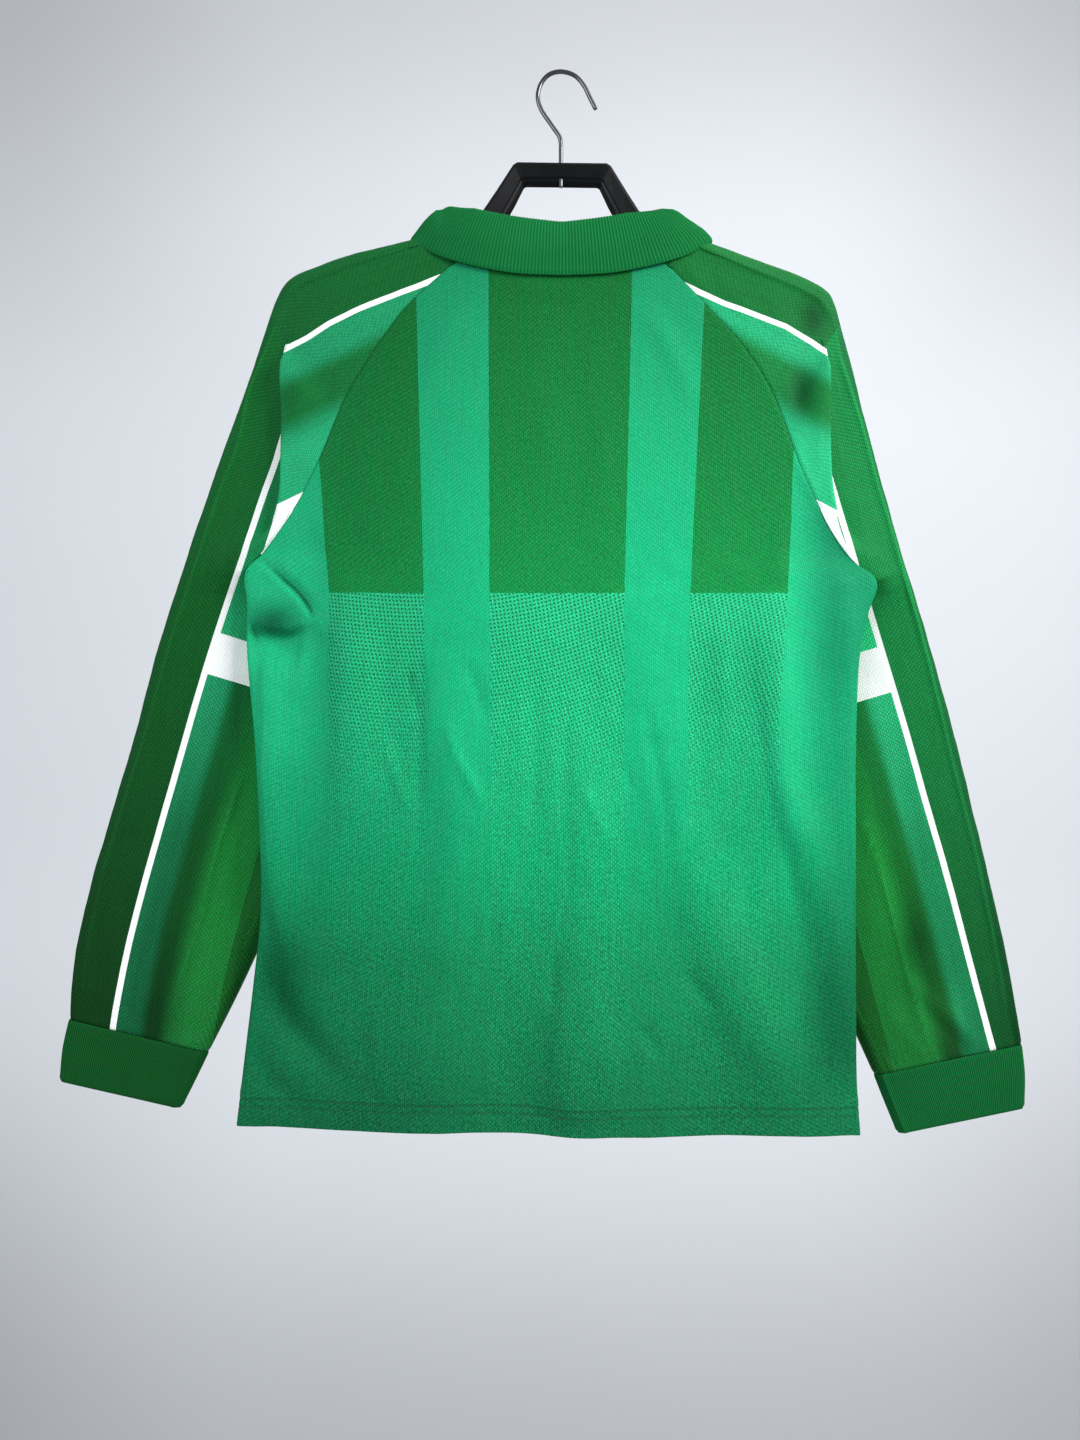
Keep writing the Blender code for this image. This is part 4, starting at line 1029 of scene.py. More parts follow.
def shell(name, layers, thick, attributes, join_from=None, material=None, join_to=None):
    """A closed thin shell over a grid of points: outer face, inner face and the edges between.
    attributes holds a number triple for each grid point. Columns join up over the rows from join_from."""
    outer, N = layers
    rows, cols = outer.shape[:2]
    inner = outer - N * thick
    nv = rows * cols
    idx = np.arange(nv).reshape(rows, cols)
    if join_from is not None:
        idx = idx.copy()
        idx[join_from:, -1] = idx[join_from:, 0]
    quads = []

    def grid_faces(ids, flip):
        a, b, c, d = ids[:-1, :-1], ids[:-1, 1:], ids[1:, 1:], ids[1:, :-1]
        f = np.stack([a, b, c, d] if not flip else [a, d, c, b], -1).reshape(-1, 4)
        quads.append(f)

    grid_faces(idx, False)
    grid_faces(idx + nv, True)

    def strip(edge, flip):
        e = np.asarray(edge)
        f = np.stack([e[:-1], e[1:], e[1:] + nv, e[:-1] + nv], -1)
        quads.append(f[:, ::-1] if flip else f)

    strip(idx[0], True)
    strip(idx[-1], False)
    stop = rows if join_from is None else join_from + 1
    if stop > 1:
        strip(idx[:stop, 0], False)
        strip(idx[:stop, -1], True)
    F = np.concatenate(quads)
    used, back = np.unique(F, return_inverse=True)
    F = back.reshape(F.shape)
    V = np.concatenate([outer.reshape(-1, 3), inner.reshape(-1, 3)])[used] * MM
    # turn the faces outwards
    a, b, c = V[F[0, 0]], V[F[0, 1]], V[F[0, 2]]
    probe = len(idx[0]) // 2 + (rows // 2) * (cols - 1)
    a, b, c = V[F[probe, 0]], V[F[probe, 1]], V[F[probe, 2]]
    r, q = divmod(probe, cols - 1)
    if np.dot(np.cross(b - a, c - a), N[r, q]) < 0:
        F = F[:, ::-1]
    me = bpy.data.meshes.new(name)
    me.from_pydata(V.tolist(), [], F.tolist())
    me.shade_smooth()
    for key, data in attributes.items():
        full = np.concatenate([data.reshape(-1, 3)] * 2)[used]
        at = me.attributes.new(key, "FLOAT_VECTOR", "POINT")
        at.data.foreach_set("vector", full.astype(np.float32).ravel())
    me.validate()
    me.update()
    ob = bpy.data.objects.new(name, me)
    bpy.context.scene.collection.objects.link(ob)
    me.materials.append(material)
    return ob


def real_area(G):
    """Area of a grid of points, in square metres."""
    a = np.cross(G[1:, :-1] - G[:-1, :-1], G[:-1, 1:] - G[:-1, :-1])
    b = np.cross(G[1:, :-1] - G[1:, 1:], G[:-1, 1:] - G[1:, 1:])
    return 0.5 * float(np.linalg.norm(a, axis=-1).sum() + np.linalg.norm(b, axis=-1).sum()) * MM * MM


def mirrored(P):
    """The same points with the front brought to the back, to read what lies there."""
    Q = P.copy()
    Q[..., 1] = np.abs(Q[..., 1])
    return Q


# ---------------------------------------------------------------- creases
# Each row: its line in pixels with the height in mm at each point (below 0 it is a trough), and its width
# to the left and to the right of the line; or a line, one width, one height and the share of it that fades.
BACK_CREASES = [
    # the long hanging folds, left to right
    ([(262, 600, 0.8), (266, 650, 2.0), (268, 700, 3.4), (268, 740, 4.4), (268, 780, 5.0), (270, 820, 5.2),
      (272, 860, 5.0), (276, 900, 3.8), (284, 940, 1.8), (290, 972, 0.0)], 10, 17),
    ([(350, 585, 1.4), (350, 610, 3.6), (350, 640, 5.4), (350, 670, 6.0), (350, 700, 5.8), (351, 740, 4.8),
      (350, 780, 3.8), (345, 820, 2.2), (340, 860, 1.5), (335, 900, 1.4), (335, 960, 0.6)], 20, 28),
    ([(446, 660, 0.8), (446, 700, 1.9), (448, 740, 2.4), (452, 780, 2.8), (456, 820, 3.0), (452, 860, 3.0),
      (448, 900, 2.8), (446, 940, 2.0), (450, 980, 1.2), (440, 1020, 1.0), (428, 1060, 1.6), (425, 1100, 1.2)], 20, 32),
    ([(574, 700, 0.8), (576, 740, 1.7), (579, 780, 2.4), (584, 820, 3.0), (590, 860, 3.2), (588, 900, 3.2),
      (588, 940, 3.6), (586, 980, 3.8), (580, 1020, 5.0), (582, 1060, 6.0), (580, 1100, 5.4), (580, 1140, 4.4)], 30, 32),
    ([(660, 700, 0.8), (668, 780, 2.4), (676, 820, 2.6), (690, 860, 3.4), (703, 900, 4.6), (716, 940, 5.4),
      (732, 980, 6.0), (750, 1020, 6.0), (772, 1060, 3.2), (786, 1100, 1.0)], 28, 30),
    ([(772, 600, 1.2), (772, 640, 2.4), (774, 670, 3.0), (776, 700, 3.8), (777, 740, 4.2), (780, 780, 4.8),
      (795, 820, 5.2), (812, 860, 4.8), (822, 900, 4.0), (832, 940, 3.4), (838, 980, 3.2), (846, 1020, 2.6),
      (850, 1060, 0.0)], 20, 20),
    ([(846, 588, 1.2), (848, 620, 2.4), (850, 650, 2.6), (852, 690, 2.4), (850, 740, 1.2), (848, 780, 0.0)], 18, 12),
    ([(640, 600, 1.2), (646, 640, 1.8), (648, 680, 1.8), (650, 730, 0.8)], 30, 34),
    # behind the left side, near the hem
    ([(252, 952, -0.8), (266, 986, -3.4), (285, 1022, -5.2), (308, 1050, -4.0), (330, 1078, -1.8), (345, 1100, 0.0)], 15, 17),
    ([(254, 1060, -0.8), (272, 1084, -1.9), (292, 1106, -1.8), (310, 1126, -0.6)], 11, 12),
    # under the left armpit: a thin crease, then the cloth tucks in
    ([(262, 560, 0.0), (270, 566, -1.2), (283, 579, -1.9), (297, 592, -2.1), (308, 606, -1.8), (316, 620, 0.0)], 4, 6),
    ([(248, 628, -3.0), (262, 635, -6.5), (276, 638, -8.0), (290, 637, -6.0), (304, 631, -2.4), (314, 622, 0.0)], 26, 6),
    ([(300, 588, 0.0), (304, 620, 1.0), (302, 650, 1.4), (298, 690, 0.4)], 8, 8),
    # thin ones
    ([(566, 700, 0.0), (566, 740, -0.9), (565, 780, -1.2), (566, 820, -1.0), (568, 870, -0.6), (566, 940, 0.0)], 7, 7),
    ([(533, 660), (535, 760), (532, 850)], 8, -1.1, 0.30),
    ([(410, 667), (414, 690), (420, 716)], 4, -1.4, 0.30),
    ([(426, 662), (424, 690), (421, 716)], 4, -0.8, 0.30),
    ([(383, 733), (396, 775), (413, 815)], 6, 1.2, 0.30),
    ([(422, 700), (420, 780), (416, 870)], 6, -0.9, 0.30),
    ([(447, 713), (457, 753), (487, 813)], 6, 1.4, 0.30),
    ([(467, 660), (478, 690), (487, 722)], 6, -1.4, 0.30),
    ([(580, 780), (596, 812), (613, 849)], 6, 1.3, 0.30),
    ([(643, 700), (656, 760), (667, 820), (670, 882)], 6, -1.3, 0.30),
    ([(620, 760), (626, 776), (633, 795)], 5, -1.2, 0.30),
    ([(747, 647), (757, 712), (767, 780), (792, 880), (806, 960)], 7, -1.2, 0.30),
    ([(683, 970), (700, 991), (717, 1013)], 6, -1.3, 0.30),
    ([(643, 1027), (652, 1044), (660, 1060)], 6, -1.1, 0.30),
    ([(553, 950), (554, 980), (552, 1012)], 6, -1.0, 0.30),
    ([(610, 655), (604, 700), (606, 735)], 7, 0.9, 0.35),
    ([(720, 600), (723, 680), (731, 760)], 8, 1.1, 0.35),
    ([(395, 600), (398, 650), (396, 700)], 8, 0.8, 0.35),
    ([(488, 1000), (486, 1050), (490, 1100)], 9, 0.9, 0.35),
    ([(372, 1000), (378, 1050), (384, 1104)], 10, 0.9, 0.35),
    ([(510, 870), (505, 930), (508, 990)], 8, 0.8, 0.35),
    # from the shoulders
    ([(470, 300), (440, 350), (420, 400)], 12, 1.0, 0.40),
    ([(640, 300), (672, 352), (700, 410)], 12, 1.0, 0.40),
    ([(800, 500), (780, 540), (772, 600)], 12, 1.2, 0.40),
    ([(318, 500), (330, 540), (340, 590)], 12, 1.2, 0.40),
    ([(500, 285), (560, 292), (615, 284)], 9, 0.8, 0.40),
    ([(540, 330), (548, 420), (544, 520)], 20, 0.9, 0.40),
    ([(596, 380), (602, 470), (598, 560)], 16, 0.8, 0.40),
]


def turned(table, dx, dy, gain):
    """The same kind of creases on the other face: swapped left for right, moved and changed a little."""
    out = []
    for k, row in enumerate(table):
        row = plain_crease(*row) if len(row[0][0]) == 2 else row
        drift = 9 * math.sin(2.3 * k + 0.7)
        part = gain * (0.85 + 0.2 * math.cos(1.3 * k))
        pts = [(1094 - x + dx + drift, y + dy + 6 * math.cos(1.7 * k), h * part) for x, y, h in row[0]]
        out.append((pts, row[2] * 1.1, row[1] * 1.1))
    return out


FOLD_GAIN = 1.75
FRONT_CREASES = turned(BACK_CREASES, 8, 14, 0.75)

# ---------------------------------------------------------------- body panels
EDGES = [  # the print's column edges down the back, in pixels: top to bottom
    [(307, 310), (319, 465), (329, 593), (330, 850), (331, 1140)],
    [(414, 240), (416.6, 299), (424, 593), (425, 720), (426, 1140)],
    [(488, 240), (488, 267), (489, 593), (490, 720), (491, 1140)],
    [(633.5, 240), (632.7, 267), (625, 593), (625, 720), (624, 1140)],
    [(705, 240), (704, 306), (690, 593), (688, 720), (686, 1140)],
    [(802, 330), (794, 450), (788, 593), (778, 720), (777, 1140)],
]


def column(px, py):
    """Place across the print's columns: 1 to 6 at their edges."""
    e = [np.interp(py, [p[1] for p in pts], [p[0] for p in pts]) for pts in EDGES]
    out = 1 - (e[0] - px) / 60.0
    for k in range(5):
        out = np.where(px > e[k], k + 1 + (px - e[k]) / (e[k + 1] - e[k]), out)
    return np.where(px > e[5], 6 + (px - e[5]) / 60.0, out)


def make_panel(side):
    name = "back" if side > 0 else "front"
    dense = np.arange(0, 19.001, 0.02)
    probe = panel_grid(side, dense, [0.02, 0.25, 0.5, 0.75, 0.98])
    length = steps(probe, 0).mean(1)
    low = length[-1]
    extra = list(low - np.concatenate([np.arange(0, 34, 1.1)]))
    step = PITCH * (1.22 if side > 0 else 1.7)
    busy = side > 0
    top_py = to_px(probe[:, 2])[1]
    at = [float(np.interp(y, top_py, length)) for y in (230, 545, 645)]
    rows = graded(dense, length, [ARMPIT], [(0, at[1], 5.2), (at[1], at[2], 2.1)] if busy else [], step,
                  extra if side > 0 else extra[::2])
    du = np.linspace(0, 1, 1601)
    across = steps(panel_grid(side, [14], du), 1)[0]
    wide = across[-1]
    near = [0.4, 0.9, 1.5, 2.3, 3.3, 4.6, 6.2]
    line_px = to_px(panel_grid(side, [14], du))[0][0]
    order = np.argsort(line_px)
    zone_u = sorted(float(np.interp(x, line_px[order], across[order])) for x in (252, 318))
    cols = graded(du, across, [0.5], [(zone_u[0], zone_u[1], 1.7)] if busy else [], step, near + [wide - n for n in near])
    G = panel_grid(side, rows, cols)
    N = normals(G)
    if N[len(N) // 2, N.shape[1] // 2, 1] * side < 0:
        N *= -1
    along_, over = steps(G, 0), steps(G, 1)
    px, py = to_px(mirrored(G))
    from_edge = np.minimum(over, over[:, -1:] - over)
    up_hem = along_[-1:] - along_
    from_neck = along_
    table = BACK_CREASES if side > 0 else FRONT_CREASES
    fade = smooth((from_edge - 1.0) / 9.0) * smooth(from_neck / 14.0)
    h = relief(px, py, table) * (0.35 + 0.65 * smooth(up_hem / 40.0)) * FOLD_GAIN
    if side > 0:
        h *= 1 + 0.6 * smooth((py - 940) / 90) * np.exp(-((px - 590) / 90) ** 2)
    h = np.where(h > 5.0, 5.0 + 5.0 * np.tanh((h - 5.0) / 5.0), h)      # no ridge stands far off the form
    h += 0.35 * wavy(G[..., 0], G[..., 2], 11 + side, 46.0) * smooth((py - 420) / 200)
    h += 0.12 * wavy(G[..., 0], G[..., 2], 21 + side, 15.0)
    h -= 2.0 * smooth((py - 600) / 120) * smooth(from_edge / 60)      # ridges and troughs share the form's depth
    h *= fade
    h -= SEAM_DIP * bell(from_edge, 1.5) * (rows <= ARMPIT + 0.3)[:, None]
    h -= 0.7 * bell(from_edge, 1.4) * (rows > ARMPIT + 0.3)[:, None]
    # the hem: two rows of stitches pull it in, and it puckers between them
    pucker = wavy(over * 1.0, np.zeros_like(over), 31 + side, 9.0)
    h -= 0.42 * bell(up_hem - 22.6, 1.0) + 0.34 * bell(up_hem - 15.6, 1.0)
    h += (0.22 * pucker) * bell(up_hem - 27.0, 5.0) + 0.15 * pucker * bell(up_hem - 19.0, 3.0)
    h += 0.30 * bell(up_hem - 28.5, 4.0)
    P = G + N * h[..., None]
    # painted marks: darker at the seam edges and along the hem's two stitch lines, partly the dark seams and partly
    # painted shade in their grooves; a painted highlight on the ridge just above the stitching
    tone = 1.0 - 0.16 * bell(from_edge, 0.8) - 0.34 * bell(up_hem - 22.6, 1.1) - 0.24 * bell(up_hem - 15.6, 1.1) + 0.16 * bell(up_hem - 25.2, 1.2)
    # painted light and shade on the back: darker towards the left, away from the key lamp; lighter at the far left and
    # over the folds left of the middle; darker over the folds on the right
    if side > 0:
        tone = tone * (1 - 0.29 * smooth((560 - px) / 220))
        tone = tone * (1 + 0.14 * smooth((335 - px) / 40) * smooth((820 - py) / 100))
        tone = tone * (1 + 0.09 * smooth((405 - px) / 30) * smooth((px - 325) / 20) * smooth((py - 610) / 50) * smooth((840 - py) / 70))
        tone = tone * (1 - 0.10 * smooth((px - 688) / 20) * smooth((792 - px) / 20) * smooth((py - 600) / 60) * smooth((900 - py) / 80))
        # painted shade along the right-hand edge, by height
        right_edge_shade = np.interp(py, [440, 485, 640, 720, 800, 900, 1000, 1060, 1110], [0, 0.48, 0.42, 0.31, 0.25, 0.33, 0.42, 0.36, 0.0])
        tone = tone * (1 - right_edge_shade * smooth((px - 786) / 50))
        # painted shadow in the pocket under the left armpit, and low on the left side
        tone = tone - 0.58 * np.exp(-((px - 274) / 25) ** 2 - ((py - 622) / 20) ** 2) * smooth((638 - py) / 7)
        tone = tone - 0.32 * np.exp(-((px - 280) / 30) ** 2 - ((py - 975) / 62) ** 2)
        # painted shade in the crease under the left armpit, and a painted highlight beside it
        tone = tone - 0.70 * fold(px, py, [(268, 564, 0.3), (283, 579, 1), (297, 592, 1), (308, 606, 1), (314, 618, 0.2)], 1.7)
        tone = tone + 0.08 * fold(px, py, [(278, 580, 0.2), (292, 594, 1), (303, 609, 1), (309, 620, 0.2)], 2.0)
        # painted highlights and painted shade along single creases
        for line, amount in ((([(446, 712), (452, 738), (462, 760), (476, 785), (487, 812)]), 0.20), ([(409, 667), (414, 690), (419, 714)], -0.28),
                             ([(383, 733), (396, 775), (413, 815)], 0.14), ([(467, 660), (478, 690), (487, 722)], -0.12),
                             ([(580, 780), (596, 812), (613, 849)], 0.14), ([(424, 640), (424, 720), (421, 800)], -0.16)):
            tone = tone + fold(px, py, *plain_crease(line, 2.6, amount, 0.3))
    mid = np.abs(cols - 0.5).argmin()
    # the print's column and height, with the painted light and shade as the third value
    print_and_painted_shading = np.stack([column(px, py), py, tone], -1)
    cloth = np.stack([over - over[:, mid:mid + 1], along_, np.zeros_like(over)], -1)
    # the hem turns under and runs up inside
    N2 = normals(P)
    if N2[len(N2) // 2, N2.shape[1] // 2, 1] * side < 0:
        N2 *= -1
    down = unit(P[-1] - P[-3])
    R = 1.0
    turn_rows = [P[-1] + (-N2[-1] * (1 - math.cos(a)) + down * math.sin(a)) * R
                 for a in np.radians([30, 60, 90, 120, 150])]
    turn_n = [unit(N2[-1] * math.cos(a) + down * math.sin(a)) for a in np.radians([30, 60, 90, 120, 150])]
    inside = [i for i in range(len(rows) - 1, 0, -1) if up_hem[i].mean() <= HEM][::2]
    facing = [P[i] - N2[i] * 2 * R for i in inside]
    facing_n = [-N2[i] for i in inside]
    full = np.concatenate([P, turn_rows, facing])
    full_n = np.concatenate([N2, turn_n, facing_n])

    def longer(a):
        return np.concatenate([a, np.repeat(a[-1:], len(turn_rows), 0)] + [a[i:i + 1] for i in inside])

    ob = shell(name + "_panel_cloth", (full, full_n), CLOTH,
               {"print": longer(print_and_painted_shading), "cloth": longer(cloth)}, material=BODY_PRINT)
    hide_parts(name + "_panel")
    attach(ob, "root")
    area = real_area(full)
    w, l = float(over[:, -1].max()) * MM + 0.012, float(along_[-1].max()) * MM + 0.024 + (0.12 if side < 0 else 0.02)
    print(name, "area", area, "box", w * l, area / (w * l), "verts", full.size // 3)
    return ob, P, N2, rows, cols, over, along_, (w, l, area)


# ---------------------------------------------------------------- sleeves
STRIPE = {  # the white stripe in pixels: over the shoulder, then down the arm
    "left": ([(434.8, 279), (416, 287), (384, 299), (357, 310), (330, 323), (309, 336.6), (288.8, 347)],
             [(285, 430), (276.2, 460), (265.3, 490), (255.4, 520), (245.4, 550), (235.0, 580), (224.8, 610),
              (215.0, 640), (205.6, 670), (196.6, 700), (188, 730), (179.4, 760), (171.0, 790), (162.3, 820),
              (153.7, 850), (145.4, 880), (137.3, 910), (129.8, 940), (123.2, 970), (117.4, 1000), (113.6, 1023)]),
    "right": ([(681, 282.5), (700.6, 292.7), (724.8, 303.6), (761, 317), (785.4, 326.6), (809.7, 341), (827.8, 353)],
              [(820, 440), (827.5, 470), (836.4, 500), (845.2, 530), (854.4, 560), (863.5, 590), (872.6, 620),
               (881.6, 650), (890.6, 680), (899.6, 710), (908.4, 740), (916.8, 770), (925.1, 800), (933.8, 830),
               (942.6, 860), (950.9, 890), (958.8, 920), (966.6, 950), (974.5, 980), (982.5, 1010), (990.5, 1040),
               (994.4, 1053.4)]),
}
BAND = {"left": (213.0, 256.0), "right": (215.0, 262.0)}      # the white band, as lengths along the stripe
PATCH = {"left": 499.5, "right": 506.0}                       # the white patch behind the armpit starts here
ARM_CREASES = {
    "left": [
        # pressed lines down the arm
        ([(284.8, 304.5), (268, 346), (250, 387), (240, 440), (218, 495.5), (193, 572), (170, 643), (145, 735),
          (126, 796), (105, 866), (90, 934), (80.5, 997)], 3.2, 1.1, 0.04),
        ([(246.6, 762), (232, 805), (218, 845.5), (206, 888), (197, 926.6), (182.5, 968), (168, 1021)], 3.6, 1.1, 0.15),
        ([(256, 640), (250, 700), (238, 780)], 5, 0.5, 0.3),
        # soft folds
        ([(262, 486), (254, 540), (240, 600)], 12, 0.9, 0.35),
        ([(230, 690), (214, 760), (196, 830), (178, 910)], 10, -0.7, 0.30),
        ([(160, 690), (140, 770), (122, 850)], 12, 0.7, 0.35),
        ([(120, 880), (108, 940), (100, 1000)], 8, -0.6, 0.35),
        ([(100, 1004), (101, 1012), (99, 1022)], 4, -0.8, 0.30),
        ([(130, 1000), (131, 1014), (128, 1028)], 5, -0.8, 0.30),
        ([(116, 1002), (115, 1014), (114, 1026)], 4, 0.6, 0.30),
        ([(148, 1006), (146, 1022), (142, 1034)], 4, -0.6, 0.30),
        ([(160, 1040), (184, 1044), (206, 1040)], 6, 0.9, 0.35),
        ([(236, 956), (226, 990), (212, 1030)], 5, 0.6, 0.35),
        ([(190, 985), (182, 1010), (172, 1036)], 6, -0.6, 0.35),
        ([(290, 330), (272, 372), (262, 418)], 8, -0.7, 0.35),
    ],
    "right": [
        ([(834, 324), (838, 352), (846, 377), (862, 426), (880, 494), (905, 575), (930, 668), (952, 760), (974, 846),
          (992, 930), (1008, 1020)], 3.2, 1.1, 0.04),
        ([(860, 807), (870, 838), (880, 868.6), (892, 914), (904, 962), (920, 1013), (934, 1059)], 3.6, 1.1, 0.12),
        ([(862, 700), (862, 760), (864, 800)], 6, 0.5, 0.3),
        ([(858, 480), (866, 540), (878, 600)], 12, 0.8, 0.35),
        ([(888, 700), (900, 770), (918, 850), (930, 920)], 10, -0.7, 0.30),
        ([(945, 640), (962, 720), (980, 800)], 12, 0.7, 0.35),
        ([(976, 880), (990, 940), (1000, 1000)], 8, -0.6, 0.35),
        # folds across, above the cuff
        ([(896, 968), (934, 1004), (976, 1042)], 8, 1.5, 0.25),
        ([(916, 998), (944, 1028), (976, 1062)], 7, -1.5, 0.25),
        ([(884, 1000), (904, 1030), (926, 1062)], 8, 0.9, 0.30),
        ([(880, 1040), (890, 1056), (898, 1070)], 5, -0.7, 0.30),
        ([(950, 1010), (968, 1034), (984, 1048)], 6, 0.8, 0.30),
        ([(1000, 1020), (1001, 1034), (1004, 1046)], 5, -0.7, 0.30),
        ([(832, 380), (842, 430), (850, 470)], 8, -0.6, 0.35),
    ],
}
FLAP_CREASES = {
    "left": [
        ([(430, 233), (406, 245), (370, 257), (338, 269), (304, 281), (290, 290), (285, 303)], 3.4, 0.9, 0.10),
        ([(292, 330), (318, 362), (330, 400)], 10, -0.7, 0.35),
        ([(296, 440), (304, 470), (300, 500)], 8, 0.6, 0.35),
        ([(380, 276), (366, 300), (350, 330)], 10, 0.7, 0.35),
        ([(420, 262), (408, 282), (396, 300)], 9, 0.6, 0.35),
        ([(352, 372), (338, 402), (322, 440)], 7, 0.5, 0.35),
        ([(313, 346), (322, 344), (336, 336)], 6, -0.6, 0.35),
    ],
    "right": [
        ([(694, 242), (712, 251), (739, 263), (769, 276), (801, 289), (822, 302), (833, 322)], 3.4, 0.9, 0.10),
        ([(803, 362), (800, 390), (803, 418)], 10, -1.8, 0.30),
        ([(788, 356), (786, 384), (790, 420)], 8, 0.9, 0.35),
        ([(822, 392), (820, 420), (818, 460)], 6, 0.9, 0.35),
        ([(716, 272), (736, 296), (756, 326)], 10, 0.8, 0.35),
        ([(680, 262), (696, 280), (712, 300)], 9, 0.6, 0.35),
        ([(800, 440), (808, 470), (816, 500)], 8, -0.7, 0.35),
        ([(770, 300), (786, 330), (790, 350)], 9, 0.7, 0.35),
    ],
}


def sleeve_columns():
    """Knot numbers across a sleeve: the back and front seams and the pleat get more of them."""
    f = 1.0
    out = [0, 0.02, 0.05, 0.09, 0.14, 0.20]
    cuts = [(0.20, 1, 7), (1, 2, 6), (2, 7, 20), (7, 8, 15), (8, 9, 16), (9, 10, 17), (10, 14, 20), (14, 15, 10),
            (15, 16, 10), (16, 17, 9), (17, 18, 4), (18, 19, 4), (19, 20, 7), (20, 21, 6), (21, 21.75, 6)]
    for a, b, n in cuts:
        n = max(2, int(round(n * f)))
        out += list(np.linspace(a, b, n + 1)[1:])
    out += [21.82, 21.88, 21.93, 21.97, 22]
    return np.array(out)


def fine_sleeve(table, rows, knots):
    """The sleeve's outer surface; under the armpit only the cloth near the seam hurries to close the tube."""
    out = []
    near = np.exp(-(np.minimum(np.arange(LAST + 1), LAST - np.arange(LAST + 1)) / 3.5) ** 2)[:, None]
    for s in rows:
        if ARMPIT < s < ARMPIT + 1:
            t = s - ARMPIT
            p = np.concatenate([1 + 0.5 * near, 1 - 0.5 * near, np.ones_like(near)], 1)
            K = mix(section(table[ARMPIT], False), section(table[ARMPIT + 1], True), t ** p)
        else:
            q = spline(table, s)[0]
            if 4 < s < 5:
                q[COLS.index("pl")] = max(q[COLS.index("pl")], 0.0) ** 3
            K = section(q, s > ARMPIT + 1e-6)
        out.append(spline(K, knots))
    return np.array(out)


def evened(ring, knots, size):
    """A closed ring with the flat back of the tube smoothed over about this many mm."""
    if size < 0.8:
        return ring
    L = steps(ring[None], 1)[0]
    n = int(L[-1] / 1.0)
    u = np.arange(n) / n * L[-1]
    Q = np.stack([np.interp(u, L, ring[:, c]) for c in range(3)], 1)
    k = np.exp(-(np.arange(-24, 25) / size) ** 2)
    k /= k.sum()
    pad = np.concatenate([Q[-24:], Q, Q[:24]])
    soft_ = np.stack([np.convolve(pad[:, c], k, "valid") for c in range(3)], 1)
    soft_ = np.concatenate([soft_, soft_[:1]])
    u = np.append(u, L[-1])
    S_ = np.stack([np.interp(L, u, soft_[:, c]) for c in range(3)], 1)
    m = np.clip(smooth((10.2 - knots) / 1.4) + smooth((knots - 20.2) / 1.4), 0, 1)[:, None]
    out = ring * (1 - m) + S_ * m
    out[-1] = out[0]
    return out


